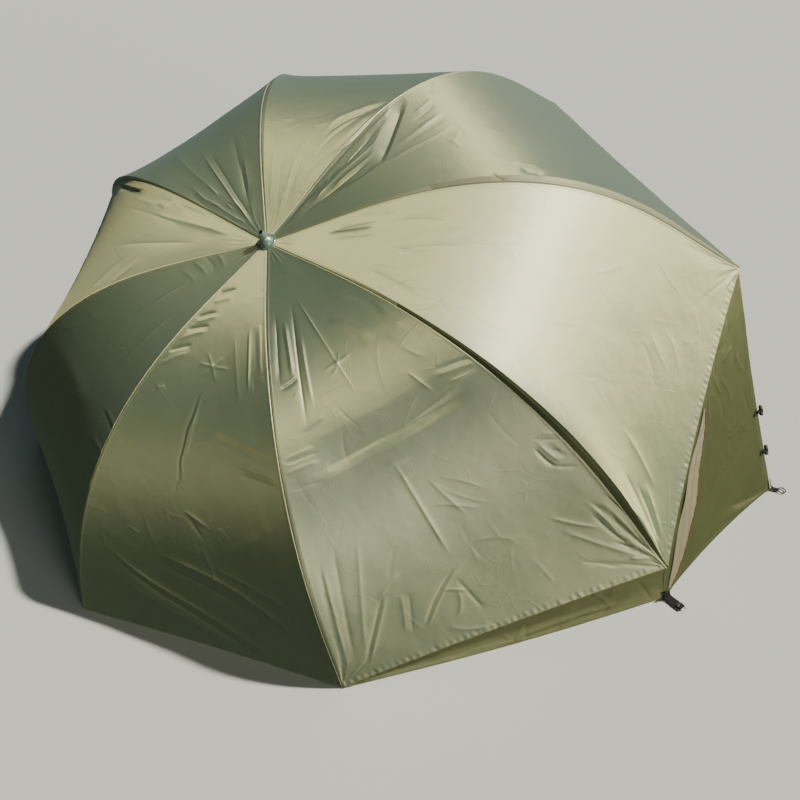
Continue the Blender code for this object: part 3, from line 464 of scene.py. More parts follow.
def creases(x, y, rng, count, box):
    """Thin creases that handling leaves in the cloth, single and in small stars, on the cloth's own plane."""
    (x0, x1), (y0, y1) = box
    lines = []
    for _ in range(count):
        cx, cy = rng.uniform(x0, x1), rng.uniform(y0, y1)
        if rng.random() < 0.32:
            for _ in range(int(rng.integers(3, 6))):
                turn, long = rng.uniform(0, 2 * math.pi), rng.uniform(0.015, 0.045)
                lines.append((cx, cy, turn, long, rng.uniform(0.0022, 0.0030), rng.uniform(0.30, 0.55)))
        else:
            turn, long = rng.normal(math.pi / 2, 0.55), rng.uniform(0.04, 0.17)
            lines.append((cx, cy, turn, long, rng.uniform(0.0024, 0.0036), rng.choice((-1, 1)) * rng.uniform(0.3, 0.7)))
    h = np.zeros_like(x)
    for cx, cy, turn, long, wide, tall in lines:
        dx, dy = x - cx, y - cy
        near = (np.abs(dx) < long + 0.02) & (np.abs(dy) < long + 0.02)
        if not near.any():
            continue
        along = dx[near] * math.cos(turn) + dy[near] * math.sin(turn)
        off = -dx[near] * math.sin(turn) + dy[near] * math.cos(turn) + 2.0 * along * (along - long)
        f = np.clip(along / long, 0, 1)
        h[near] += tall / 1000 * np.sin(np.pi * f) ** 0.7 * np.exp(-1.3 * np.abs(off) / wide)
    return h


# The rib's pocket beside its seam, on the side of the front rib: shares of the rib, how far the pocket's edge lies
# from the seam in millimetres, and how steeply the cloth climbs to it.
SHARES = [0, 0.15, 0.35, 0.5, 0.65, 0.8, 0.93, 1]
POCKETS = {
    "side": ([4, 5, 8, 10, 10, 9.5, 7, 4], [0.05, 0.15, 0.55, 1.30, 2.00, 2.10, 1.60, 0.3]),
    "front_side": ([4, 7, 15, 20, 20, 16, 10, 5], [0.05, 0.20, 0.38, 0.48, 0.58, 0.70, 0.70, 0.3]),
    "rear_side": ([4, 5, 7, 8, 9, 9, 8, 5], [0.05, 0.15, 0.25, 0.30, 0.32, 0.32, 0.30, 0.1]),
}
STEPS = np.array([0, 0.04, 0.08, 0.13, 0.19, 0.26, 0.34, 0.43, 0.53, 0.63, 0.73, 0.82, 0.90, 0.96, 1.0, 1.05, 1.12,
                  1.25, 1.45, 1.75, 2.2, 2.8, 3.6])
ROWS = 396
MIDDLE = 188


def smooth(a, size):
    pad = np.concatenate([np.full(size, a[0]), a, np.full(size, a[-1])])
    for _ in range(2):
        pad = np.convolve(pad, np.hanning(size + 2)[1:-1] / np.hanning(size + 2)[1:-1].sum(), "same")
    return pad[size:-size]


def pocket(rib_number, here, u, width):
    """Distance of the pocket's edge from the seam, and its slope, for each row."""
    wide, slope = np.full(u.shape, 0.012), np.zeros(u.shape)
    if here:
        table = POCKETS[PLACE[rib_number]]
        wide = smooth(np.interp(u, SHARES, table[0]), 21) / 1000
        slope = smooth(np.interp(u, SHARES, table[1]), 21)
    return np.minimum(wide, 0.34 * width / STEPS[-1]), slope


def crest(d, wide, slope):
    """Height of the cloth over the pocket and past it."""
    wide, tall = wide[:, None], (wide * slope)[:, None]
    return tall * np.where(d < wide, d / wide, np.exp(-np.clip(d - wide, 0, None) / 0.07))


def seam_relief(d):
    """The felled seam: a groove on the line and a low raised band beside it."""
    groove = -0.0012 * np.exp(-(d / 0.0013) ** 2)
    band = 0.0004 * (smoothstep(0.0006, 0.0020, d) - smoothstep(0.0062, 0.0078, d))
    return groove + band


def plain_panel(i):
    """Grid of the panel between rib i and the next, from hub to rim, before it is displaced."""
    j = i % 8 + 1
    u1 = np.linspace(0, 1, ROWS)
    half = len(STEPS) - 1
    middle = 148 if i in (7, 8) else MIDDLE
    cols = 2 * half + middle
    pi, _ = rib(i, u1 * rib_length(i))
    pj, _ = rib(j, u1 * rib_length(j))
    width = np.linalg.norm(pi - pj, axis=1)
    here_i, here_j = i in (5, 6, 7), j in (1, 2, 3)
    wide_i, slope_i = pocket(i, here_i, u1, width)
    wide_j, slope_j = pocket(j, here_j, u1, width)
    t = np.zeros((ROWS, cols + 1))
    for k, w in enumerate(width):
        left, right = STEPS * wide_i[k] / w, STEPS * wide_j[k] / w
        t[k, :half + 1] = left
        t[k, -half - 1:] = 1 - right[::-1]
        e = np.linspace(0, 1, middle + 1)
        if i == 7:
            e = 1 - (1 - e) ** 1.6
        elif i == 8:
            e = e ** 1.6
        t[k, half:cols + 1 - half] = left[-1] + e * (1 - right[-1] - left[-1])
    u = np.repeat(u1[:, None], cols + 1, axis=1)
    p, normal = panel(i, j, u, t)
    if i in (3, 4):
        # the rear rim rests on the ground between the rib tips
        rim = (1 - u) * (rib_length(i) + rib_length(j)) / 2
        p[..., 2] -= 0.0092 * np.clip(10 * t * (1 - t), 0, 1) * np.exp(-(rim / 0.035) ** 2)
    di, dj = t * width[:, None], (1 - t) * width[:, None]
    lift = seam_relief(di) + seam_relief(dj) + crest(di, wide_i, slope_i) + crest(dj, wide_j, slope_j)
    return {"i": i, "j": j, "plain": p, "base_n": grid_normals(p, normal), "u": u, "t": t, "di": di, "dj": dj,
            "width": width, "lift": lift}


def build_panel(g):
    """Displaces a panel: seams, pockets, slack, tension folds and creases."""
    i, j, p, u, t, di, dj, lift = (g[k] for k in ("i", "j", "plain", "u", "t", "di", "dj", "lift"))
    w = g["width"][:, None]
    mean = (rib_length(i) + rib_length(j)) / 2
    s = u * mean
    rim = (1 - u) * mean
    across = (t - 0.5) * w
    near_seam = np.minimum(di, dj)
    # gathers where the cloth is drawn in under the nub
    lift = lift + 0.0003 * np.sin(2 * np.pi * t * 5 + i) * np.exp(-((s - 0.04) / 0.03) ** 2) * np.sin(np.pi * t)
    # slack of the cloth
    slack = smoothstep(0.0, 0.06, near_seam)
    lift = lift + slack * (0.0010 * value_noise(across * 9 + 7 * i, s * 6 + 3 * i, 11 + i)
                           + 0.00028 * value_noise(across * 26, s * 17 + i, 40 + i)
                           + 0.00012 * value_noise(across * 70, s * 52 + i, 70 + i))
    # the rim's hem puckers along its stitches
    lift = lift + (0.0007 * value_noise(across * 95, s * 3 + i, 140 + i) + 0.0004 * np.sin(2 * np.pi * across / 0.017)
                   ) * np.exp(-((rim - 0.009) / 0.009) ** 2) * smoothstep(0, 0.01, near_seam)
    # short tension folds that fan out of the rib tips, and small ones drawn into the seams
    rng = np.random.default_rng(300 + i)
    for d in (di, dj):
        reach = np.hypot(d, rim)
        angle = np.arctan2(d, rim + 1e-6)
        for k in range(7):
            at, long = rng.uniform(0.10, 1.25), rng.uniform(0.08, 0.24)
            tall = rng.uniform(0.5, 1.3) * rng.choice((-1, -1, 1))
            lift = lift + (tall / 1000 * np.exp(-1.2 * np.abs((angle - at) * reach / (0.0022 + 0.014 * reach)))
                           * smoothstep(0.0, 0.03, reach) * (1 - smoothstep(long * 0.4, long, reach)))
    for k in range(40):
        d, at = (di, dj)[k % 2], rng.uniform(0.12, 1.15)
        long, tall, lean = rng.uniform(0.015, 0.05), rng.uniform(-0.6, 0.6), rng.uniform(-0.5, 0.5)
        lift = lift + (tall / 1000 * np.exp(-1.3 * np.abs((s - at - lean * d) / 0.004))
                       * smoothstep(0.004, 0.012, d) * (1 - smoothstep(long * 0.4, long, d)))
    wide = g["width"].max() / 2
    lift = lift + slack * creases(across, s, rng, 46, ((-wide, wide), (0.15, mean)))
    base_n = g["base_n"]
    p1 = p + base_n * lift[..., None]
    x, y = to_px(p1)
    view = unit(CAM - p1)
    facing = smoothstep(0.02, 0.14, (base_n * view).sum(-1))
    names = ("7-8", "8-1") if i in (7, 8) else (f"{i}-{j}",)
    h = sum(fold_field(x, y, FOLDS[n]) for n in names) * facing
    for d, number in ((di, i), (dj, j)):
        if number != 8:
            h = h * smoothstep(0.0, 0.010, d + 0.003)
    g.update(p=p1 + base_n * h[..., None], s=s, rim=rim, across=across)
    return g


PANELS = {i: plain_panel(i) for i in range(1, 9)}
for i, g in PANELS.items():
    # neighbours share their seam's normals, so that what lifts the seam keeps them joined
    other = PANELS[(i - 2) % 8 + 1]
    shared = unit(g["base_n"][:, 0] + other["base_n"][:, -1])
    for grid, d in ((g, g["di"]), (other, other["dj"])):
        share = smoothstep(0.0, 0.012, d)[..., None]
        grid["base_n"] = unit(grid["base_n"] * share + shared[:, None] * (1 - share))
for g in PANELS.values():
    build_panel(g)


def finish_panel(g):
    """Adds the flat run under the nub and the turned hem at the rim, then the normals."""
    p, n = g["p"], g["base_n"]
    # towards the pole, under the washer
    inner = []
    for share in (0.0078 / START_R, 0.6):
        row = HUB + (g["plain"][0] - HUB) * share
        inner.append(row)
    out_dir = unit(p[-1] - p[-3])
    hem = []
    for push, drop in ((0.0010, 0.0006), (0.0014, 0.0016), (0.0004, 0.0026), (-0.0060, 0.0032), (-0.0130, 0.0034)):
        hem.append(p[-1] + out_dir * push - n[-1] * drop)
    q = np.concatenate([np.array(inner), p, np.array(hem)])
    like = np.concatenate([np.repeat(N[None, None], len(inner), 0).repeat(p.shape[1], 1), n,
                           np.repeat(n[-1][None], len(hem), 0)])
    normals = grid_normals(q, like)
    # the under side of the hem faces in
    normals[-3:] = -unit(like[-3:])
    normals[-4] = unit(out_dir - n[-1] * 0.4)
    normals[-5] = unit(out_dir + n[-1] * 0.4)

    def pad(a, first, last):
        return np.concatenate([np.array(first), a, np.array(last)])

    k = len(hem)
    s_in = [g["s"][0] - 0.0222, g["s"][0] - 0.012]
    s_out = [g["s"][-1] + 0.001 * m for m in (1, 2, 3, 9, 16)]
    g["q"], g["normals"] = q, normals
    g["weave"] = np.stack([pad(g["across"], [g["across"][0] * 0.26, g["across"][0] * 0.6], [g["across"][-1]] * k),
                           pad(g["s"], s_in, s_out)], -1)
    g["to_i"] = np.stack([pad(g["di"], [g["di"][0] * 0.26, g["di"][0] * 0.6], [g["di"][-1]] * k),
                          pad(g["s"], s_in, s_out)], -1)
    g["to_j"] = np.stack([pad(g["dj"], [g["dj"][0] * 0.26, g["dj"][0] * 0.6], [g["dj"][-1]] * k),
                          pad(g["s"], s_in, s_out)], -1)
    rim = g["rim"]
    g["hem"] = np.stack([pad(g["across"], [g["across"][0]] * 2, [g["across"][-1]] * k),
                         pad(rim, [rim[0] + 0.022, rim[0] + 0.01], [rim[-1] - 0.0005 * m for m in (1, 2, 3, 4, 5)])], -1)
    return g


for g in PANELS.values():
    finish_panel(g)


def mesh_of(name, grids):
    """One mesh from grids of points with normals and UV maps. Each grid: p, n, uv {name: (rows, cols, 2)}, flip."""
    verts, faces, normals, slots = [], [], [], []
    maps = {k: [] for k in grids[0]["uv"]}
    base = 0
    for g in grids:
        rows, cols = g["p"].shape[:2]
        idx = np.arange(rows * cols).reshape(rows, cols) + base
        f = np.stack([idx[:-1, :-1], idx[:-1, 1:], idx[1:, 1:], idx[1:, :-1]], -1).reshape(-1, 4)
        if g.get("flip"):
            f = f[:, ::-1]
        verts.append(g["p"].reshape(-1, 3))
        normals.append(g["n"].reshape(-1, 3))
        faces.append(f)
        slots.append(g["slot"].ravel() if "slot" in g else np.zeros(len(f), int))
        for k in maps:
            maps[k].append(g["uv"][k].reshape(-1, 2))
        base += rows * cols
    verts, faces, normals = np.concatenate(verts), np.concatenate(faces), np.concatenate(normals)
    me = bpy.data.meshes.new(name)
    me.vertices.add(len(verts))
    me.vertices.foreach_set("co", verts.astype(np.float32).ravel())
    me.loops.add(faces.size)
    me.loops.foreach_set("vertex_index", faces.astype(np.int32).ravel())
    me.polygons.add(len(faces))
    me.polygons.foreach_set("loop_start", np.arange(0, faces.size, 4, dtype=np.int32))
    me.update(calc_edges=True)
    me.polygons.foreach_set("use_smooth", np.ones(len(faces), bool))
    me.polygons.foreach_set("material_index", np.concatenate(slots).astype(np.int32))
    for k, parts in maps.items():
        uv = np.concatenate(parts)[faces.ravel()]
        me.uv_layers.new(name=k).data.foreach_set("uv", uv.astype(np.float32).ravel())
    me.validate()
    me.normals_split_custom_set_from_vertices(normals.tolist())
    o = bpy.data.objects.new(name, me)
    SCENE.collection.objects.link(o)
    return o


def wants_flip(p, n):
    """Whether a grid's faces wind away from its normals."""
    a, b = p.shape[0] // 2, p.shape[1] // 2
    e0 = p[a, b + 1] - p[a, b]
    e1 = p[a + 1, b] - p[a, b]
    return float(np.cross(e0, e1) @ n[a, b]) < 0


# ---------------------------------------------------------------- materials
def nodes_of(name):
    mat = bpy.data.materials.new(name)
    mat.use_nodes = True
    nt = mat.node_tree
    return mat, nt, nt.nodes, nt.links, nt.nodes["Principled BSDF"]


def math_node(nt, op, a, b=None, c=None, clamp=False):
    n = nt.nodes.new("ShaderNodeMath")
    n.operation = op
    n.use_clamp = clamp
    for k, v in enumerate((a, b, c)):
        if v is None:
            continue
        if isinstance(v, (int, float)):
            n.inputs[k].default_value = v
        else:
            nt.links.new(v, n.inputs[k])
    return n.outputs[0]


def ramp(nt, fac, stops):
    n = nt.nodes.new("ShaderNodeValToRGB")
    el = n.color_ramp.elements
    while len(el) < len(stops):
        el.new(0.5)
    for e, (pos, col) in zip(el, stops):
        e.position = pos
        e.color = (*col, 1.0)
    nt.links.new(fac, n.inputs[0])
    return n.outputs[0]


def noise_node(nt, scale, detail=3.0, rough=0.55, vector=None, kind="object"):
    n = nt.nodes.new("ShaderNodeTexNoise")
    n.inputs["Scale"].default_value = scale
    n.inputs["Detail"].default_value = detail
    n.inputs["Roughness"].default_value = rough
    if vector is None:
        tc = nt.nodes.new("ShaderNodeTexCoord")
        vector = tc.outputs["Object"]
    nt.links.new(vector, n.inputs["Vector"])
    return n.outputs["Fac"]


def mix_rgb(nt, fac, a, b, blend="MIX"):
    n = nt.nodes.new("ShaderNodeMix")
    n.data_type = "RGBA"
    n.blend_type = blend
    if isinstance(fac, (int, float)):
        n.inputs[0].default_value = fac
    else:
        nt.links.new(fac, n.inputs[0])
    for k, v in ((6, a), (7, b)):
        if isinstance(v, tuple):
            n.inputs[k].default_value = (*v, 1.0)
        else:
            nt.links.new(v, n.inputs[k])
    return n.outputs[2]


def uv_node(nt, name):
    n = nt.nodes.new("ShaderNodeUVMap")
    n.uv_map = name
    s = nt.nodes.new("ShaderNodeSeparateXYZ")
    nt.links.new(n.outputs[0], s.inputs[0])
    return n.outputs[0], s.outputs[0], s.outputs[1]


def stitches(nt, distance, along, at, pitch=0.0042, half=0.00055):
    """1 on the threads of a row of stitches that lies at one distance from an edge."""
    off = math_node(nt, "ABSOLUTE", math_node(nt, "SUBTRACT", distance, at))
    line = math_node(nt, "LESS_THAN", off, half)
    phase = math_node(nt, "FRACT", math_node(nt, "DIVIDE", along, pitch))
    return math_node(nt, "MULTIPLY", line, math_node(nt, "LESS_THAN", phase, 0.68))


def cloth(name, colour, dark, seams=(), thread=(0.085, 0.080, 0.042), warp=(2.2, 0.92), weft=(2.5, 0.92),
          tint=(1.0, 0.93, 0.44), weave_map="weave", lobe=0.70, film=1.775, film_rough=0.54):
    """Coated woven nylon: a dark olive ground under two crossed thread highlights and a soft film."""
    mat, nt, nodes, links, bsdf = nodes_of(name)
    vec, ux, uy = uv_node(nt, weave_map)
    soil = noise_node(nt, 2.3, 5.0, 0.6)
    fine = noise_node(nt, 38.0, 4.0, 0.6)
    col = mix_rgb(nt, ramp(nt, soil, [(0.35, (0, 0, 0)), (0.68, (1, 1, 1))]), dark, colour)
    col = mix_rgb(nt, 1.0, col, ramp(nt, fine, [(0.30, (0.92, 0.92, 0.92)), (0.70, (1.0, 1.0, 1.0))]), "MULTIPLY")
    mask = None
    for kind, uvname, at in seams:
        _, d, a = uv_node(nt, uvname)
        hit = stitches(nt, d, a, at) if kind == "v" else stitches(nt, a, d, at)
        mask = hit if mask is None else math_node(nt, "MAXIMUM", mask, hit)
    if mask is not None:
        col = mix_rgb(nt, mask, col, thread)
    links.new(col, bsdf.inputs["Base Color"])
    # plain weave of fine threads over the small slack of the cloth
    wx = math_node(nt, "SINE", math_node(nt, "MULTIPLY", ux, 2 * math.pi / 0.0011))
    wy = math_node(nt, "SINE", math_node(nt, "MULTIPLY", uy, 2 * math.pi / 0.0011))
    weave = math_node(nt, "MULTIPLY", wx, wy)
    bump0 = nodes.new("ShaderNodeBump")
    bump0.inputs["Strength"].default_value = 0.45
    bump0.inputs["Distance"].default_value = 0.0013
    place = nodes.new("ShaderNodeTexCoord").outputs["Object"]
    sway = nodes.new("ShaderNodeTexNoise")
    sway.inputs["Scale"].default_value = 5.0
    sway.inputs["Detail"].default_value = 2.0
    links.new(place, sway.inputs["Vector"])
    moved = nodes.new("ShaderNodeVectorMath")
    moved.operation = "MULTIPLY_ADD"
    moved.inputs[1].default_value = (0.11, 0.11, 0.11)
    links.new(sway.outputs["Color"], moved.inputs[0])
    links.new(place, moved.inputs[2])
    height = math_node(nt, "MULTIPLY", noise_node(nt, 14.0, 6.0, 0.65), 0.5)
    for scale, reach, tall in ((8.0, 0.022, 0.30), (21.0, 0.040, 0.22)):
        crumple = nodes.new("ShaderNodeTexVoronoi")
        crumple.feature = "DISTANCE_TO_EDGE"
        crumple.inputs["Scale"].default_value = scale
        links.new(moved.outputs[0], crumple.inputs["Vector"])
        folded = ramp(nt, crumple.outputs["Distance"], [(0.0, (1.0, 1.0, 1.0)), (reach, (0.0, 0.0, 0.0))])
        patch = ramp(nt, noise_node(nt, scale * 0.45, 2.0), [(0.50, (0.0, 0.0, 0.0)), (0.64, (1.0, 1.0, 1.0))])
        height = math_node(nt, "ADD", height, math_node(nt, "MULTIPLY", math_node(nt, "MULTIPLY", folded, patch), tall))
    links.new(height, bump0.inputs["Height"])
    bump = nodes.new("ShaderNodeBump")
    bump.inputs["Strength"].default_value = 0.3
    bump.inputs["Distance"].default_value = 0.0003
    height = math_node(nt, "MULTIPLY", weave, 0.2)
    if mask is not None:
        height = math_node(nt, "ADD", height, math_node(nt, "MULTIPLY", mask, 1.6))
    links.new(height, bump.inputs["Height"])
    links.new(bump0.outputs[0], bump.inputs["Normal"])
    tan = nodes.new("ShaderNodeTangent")
    tan.direction_type = "UV_MAP"
    tan.uv_map = weave_map
    second = nodes.new("ShaderNodeBsdfPrincipled")
    links.new(col, second.inputs["Base Color"])
    for b, turn, (ior, level) in ((bsdf, 0.0, warp), (second, 0.25, weft)):
        b.inputs["Roughness"].default_value = lobe
        b.inputs["Anisotropic"].default_value = 1.0
        b.inputs["Anisotropic Rotation"].default_value = turn
        b.inputs["IOR"].default_value = ior
        b.inputs["Specular IOR Level"].default_value = level
        b.inputs["Specular Tint"].default_value = (*tint, 1.0)
        b.inputs["Coat Weight"].default_value = 1.0
        b.inputs["Coat Roughness"].default_value = film_rough
        b.inputs["Coat IOR"].default_value = film
        links.new(tan.outputs[0], b.inputs["Tangent"])
        links.new(bump.outputs[0], b.inputs["Normal"])
        links.new(bump.outputs[0], b.inputs["Coat Normal"])
    mixer = nodes.new("ShaderNodeMixShader")
    mixer.inputs[0].default_value = 0.5
    links.new(bsdf.outputs[0], mixer.inputs[1])
    links.new(second.outputs[0], mixer.inputs[2])
    links.new(mixer.outputs[0], nodes["Material Output"].inputs["Surface"])
    return mat


def plain(name, colour, rough, metal=0.0, vary=0.15, scale=40.0, bump=0.0002, bump_scale=120.0, worn=None, **sockets):
    """Plastic, tube or metal with a little colour variation, grain and worn high spots."""
    mat, nt, nodes, links, bsdf = nodes_of(name)
    n = noise_node(nt, scale, 4.0)
    low = tuple(c * (1 - vary) for c in colour)
    high = tuple(min(1, c * (1 + vary)) for c in colour)
    col = ramp(nt, n, [(0.3, low), (0.7, high)])
    if worn:
        w = noise_node(nt, scale * 0.35, 8.0, 0.7)
        col = mix_rgb(nt, ramp(nt, w, [(0.60, (0, 0, 0)), (0.72, (1, 1, 1))]), col, worn)
    links.new(col, bsdf.inputs["Base Color"])
    r = ramp(nt, noise_node(nt, scale * 1.7, 5.0), [(0.3, (rough * 0.8,) * 3), (0.7, (min(1, rough * 1.2),) * 3)])
    links.new(r, bsdf.inputs["Roughness"])
    bsdf.inputs["Metallic"].default_value = metal
    b = nodes.new("ShaderNodeBump")
    b.inputs["Strength"].default_value = 0.5
    b.inputs["Distance"].default_value = bump
    links.new(noise_node(nt, bump_scale, 3.0), b.inputs["Height"])
    links.new(b.outputs[0], bsdf.inputs["Normal"])
    for k, v in sockets.items():
        bsdf.inputs[k.replace("_", " ")].default_value = v
    return mat


SEAM_ROWS = [("v", "to_i", 0.0030), ("v", "to_i", 0.0066), ("v", "to_j", 0.0030), ("v", "to_j", 0.0066),
             ("h", "hem", 0.0035), ("h", "hem", 0.0115)]
CANOPY = cloth("canopy_cloth_look", (0.051, 0.077, 0.047), (0.042, 0.067, 0.040), seams=SEAM_ROWS)
# Painted shade: this darker pocket cloth on the pocket beside rib 6 stands in for the shade that falls on the pocket's
# steep slope.
POCKET_PAINTED_SHADE = cloth("pocket_painted_shade_look", (0.036, 0.048, 0.024), (0.029, 0.040, 0.019), seams=SEAM_ROWS, warp=(1.5, 0.55),
                    weft=(1.5, 0.55), film=1.22)
# Painted highlight: this lighter tan cloth on the pockets of ribs 7 and 1 stands in for the highlight where the cloth
# is stretched over the rib.
POCKET_PAINTED_HIGHLIGHT = cloth("pocket_painted_highlight_look", (0.100, 0.105, 0.066), (0.085, 0.090, 0.056), seams=SEAM_ROWS, warp=(1.7, 0.7),
                   weft=(1.7, 0.7), film=1.35)
# Painted light: the skirt's look is the wing's olive made about twice as bright, standing in for the light that the
# skirt takes.
SKIRT_PAINTED_LIGHT = cloth("skirt_painted_light_look", (0.080, 0.088, 0.038), (0.066, 0.072, 0.030),
                    seams=[("h", "hem", 0.0035), ("h", "hem", 0.0115)], warp=(1.7, 0.7), weft=(1.7, 0.7), film=1.35)
SIDE_CLOTH = cloth("side_cloth_look", (0.042, 0.048, 0.018), (0.034, 0.040, 0.014),
                   seams=[("h", "hem", 0.0035), ("h", "hem", 0.0115), ("h", "front", 0.0040), ("h", "front", 0.0100)],
                   warp=(1.6, 0.6), weft=(1.6, 0.6), film=1.28)
PLEAT_CLOTH = cloth("pleat_cloth_look", (0.150, 0.128, 0.076), (0.115, 0.098, 0.056), warp=(1.7, 0.7), weft=(1.7, 0.7),
                    seams=[("h", "hem", 0.0022), ("h", "hem", 0.0060)], thread=(0.13, 0.035, 0.014))


def webbing(name, colour):
    """Black woven webbing: ribs across a strap, in its own surface."""
    mat, nt, nodes, links, bsdf = nodes_of(name)
    vec, ux, uy = uv_node(nt, "weave")
    rib_wave = math_node(nt, "SINE", math_node(nt, "MULTIPLY", uy, 2 * math.pi / 0.0016))
    cross = math_node(nt, "SINE", math_node(nt, "MULTIPLY", ux, 2 * math.pi / 0.0022))
    tone = ramp(nt, noise_node(nt, 160.0, 4.0), [(0.3, tuple(c * 0.7 for c in colour)), (0.7, colour)])
    links.new(tone, bsdf.inputs["Base Color"])
    bsdf.inputs["Roughness"].default_value = 0.75
    bsdf.inputs["Specular IOR Level"].default_value = 0.25
    bump = nodes.new("ShaderNodeBump")
    bump.inputs["Strength"].default_value = 0.6
    bump.inputs["Distance"].default_value = 0.0005
    links.new(math_node(nt, "ADD", rib_wave, math_node(nt, "MULTIPLY", cross, 0.5)), bump.inputs["Height"])
    links.new(bump.outputs[0], bsdf.inputs["Normal"])
    return mat


WEBBING = webbing("webbing_look", (0.0055, 0.0055, 0.0062))
BINDING = webbing("binding_look", (0.105, 0.040, 0.018))

# ---------------------------------------------------------------- canopy pieces
GORES = {}
for i in range(1, 9):
    before = (i - 2) % 8 + 1
    a, b = PANELS[i], PANELS[before]
    mids = [int(np.argmin(np.abs(g["t"][ROWS // 2] - 0.5))) for g in (a, b)]
    grids = []
    for g, cut in ((a, slice(0, mids[0] + 1)), (b, slice(mids[1], None))):
        p, n = g["q"][2:, cut], g["normals"][2:, cut]
        slot = np.zeros((p.shape[0] - 1, p.shape[1] - 1), int)
        full = list(STEPS).index(1.0)
        # slot 1 is the pocket cloth painted dark, painted shade along rib 6
        kind = {6: 1, 7: 2, 1: 2}.get(i, 0)
        # slot 2 is the pocket cloth painted light, a painted highlight along ribs 7 and 1
        if kind and g is a and i in (6, 7):
            slot[int(0.30 * ROWS):, :full] = kind
        if kind and g is b and i in (1, 2):
            slot[:, -full:] = kind
        grids.append({"p": p, "n": n, "flip": wants_flip(p, n), "slot": slot,
                      "uv": {k: g[k][2:, cut] for k in ("weave", "to_i", "to_j", "hem")}})
    o = mesh_of(f"gore_cloth_{i}", grids)
    for look in (CANOPY, POCKET_PAINTED_SHADE, POCKET_PAINTED_HIGHLIGHT):
        o.data.materials.append(look)
    GORES[i] = o

# the middle of the cloth, held between the crown and the washer
grids = []
for g in PANELS.values():
    p, n = g["q"][:3], g["normals"][:3]
    grids.append({"p": p, "n": n, "flip": wants_flip(p, n), "uv": {k: g[k][:3] for k in ("weave", "to_i", "to_j", "hem")}})
CENTRE = mesh_of("canopy_centre", grids)
CENTRE.data.materials.append(CANOPY)

# ---------------------------------------------------------------- side panels: skirt and wing
WING_BACK = np.array((-1.066, 0.056, 0.002))
WING_FRONT = np.array((-1.087, -0.479, 0.002))


MIRROR = np.array((-1.0, 1.0, 1.0))


def rim_line(t, side="left"):
    """Lower edge of a side's rim: t from -1 at the rear side rib through 0 at the side rib to 1 at the front side rib."""
    t = np.asarray(t, float)
    one = np.ones_like(t)
    if side == "left":
        back, _ = panel(5, 6, one, np.clip(1 + t, 0, 1))
        front, _ = panel(6, 7, one, np.clip(t, 0, 1))
    else:
        back, _ = panel(2, 3, one, np.clip(-t, 0, 1))
        front, _ = panel(1, 2, one, np.clip(1 - t, 0, 1))
    return np.where((t < 0)[..., None], back, front)


REAR_TIP = rib(5, np.array(rib_length(5)))[0]
SKIRT_OUT = np.array((-0.873, 0.487, 0.0)) * 0.011
WING_IN = np.array((1.0, 0.0, 0.0)) * 0.014


def ground_line(t, side="left"):
    t = np.asarray(t, float)
    rear = np.array((REAR_TIP[0], REAR_TIP[1], 0.002))
    back = WING_BACK * (1 + t)[..., None] - rear * t[..., None]
    back = back + SKIRT_OUT * np.sin(np.pi * np.clip(-t, 0, 1))[..., None]
    front = WING_BACK * (1 - t)[..., None] + WING_FRONT * t[..., None]
    front = front + WING_IN * (np.sin(np.pi * np.clip(t, 0, 1)) ** 0.7)[..., None]
    p = np.where((t < 0)[..., None], back, front)
    # between the pegged corners the hem sinks a little, so that no light passes under it
    p[..., 2] -= 0.005 * np.clip(8 * np.abs(np.sin(np.pi * t)), 0, 1)
    return p if side == "left" else p * MIRROR


TUCK = np.array((0.005, 0.0, 0.0026))
OUT_LEFT = unit(np.array((-0.9, 0.0, 0.4)))

SIDE_FOLDS = {
    "wing": [
        ([(727, 318), (724, 335), (719, 352)], 1.8, 1.8, "r"),
        ([(731, 322), (728, 338), (722, 354)], 1.8, -1.6, "r"),
        ([(733, 346), (727, 356), (723, 364)], 1.5, 1.6, "r"),
        ([(712, 372), (718, 384), (722, 398)], 1.6, 0.9, "r"),
        ([(722, 376), (730, 390), (734, 408)], 1.6, 0.9, "r"),
        ([(716, 386), (724, 404), (726, 426)], 1.6, -0.8, "r"),
        ([(746, 420), (739, 432), (729, 440)], 1.6, 1.0, "r"),
        ([(744, 412), (736, 426), (726, 436)], 1.5, 0.8, "r"),
        ([(716, 430), (713, 450), (709, 474)], 1.8, 0.9, "r"),
        ([(722, 452), (717, 480), (710, 510)], 2.2, -0.8, "r"),
        ([(730, 508), (748, 499), (768, 490)], (5.0, 7.0), -4.0, "t"),
        ([(716, 524), (738, 510), (764, 496)], (8.0, 5.0), 2.6, "t"),
        ([(744, 300), (748, 330), (752, 360)], 2.4, 1.0, "r"),
        ([(748, 318), (753, 350), (757, 384)], 1.6, -0.8, "r"),
        ([(690, 560), (702, 544), (712, 524)], 2.6, 0.9, "r"),
    ],
    "skirt": [
        ([(500, 646), (545, 628), (600, 610), (640, 600)], (5.0, 3.0), 2.6, "t"),
        ([(560, 624), (600, 613), (650, 594)], 2.0, -1.6, "r"),
        ([(600, 598), (634, 590), (662, 578)], 2.0, 1.6, "r"),
        ([(570, 612), (592, 604), (612, 592)], 2.0, -1.2, "r"),
        ([(450, 658), (500, 644), (540, 636)], 2.4, 1.2, "r"),
        ([(590, 592), (606, 602), (616, 612)], 1.8, 1.2, "r"),
        ([(636, 580), (646, 592), (652, 602)], 1.8, -1.2, "r"),
    ],
}


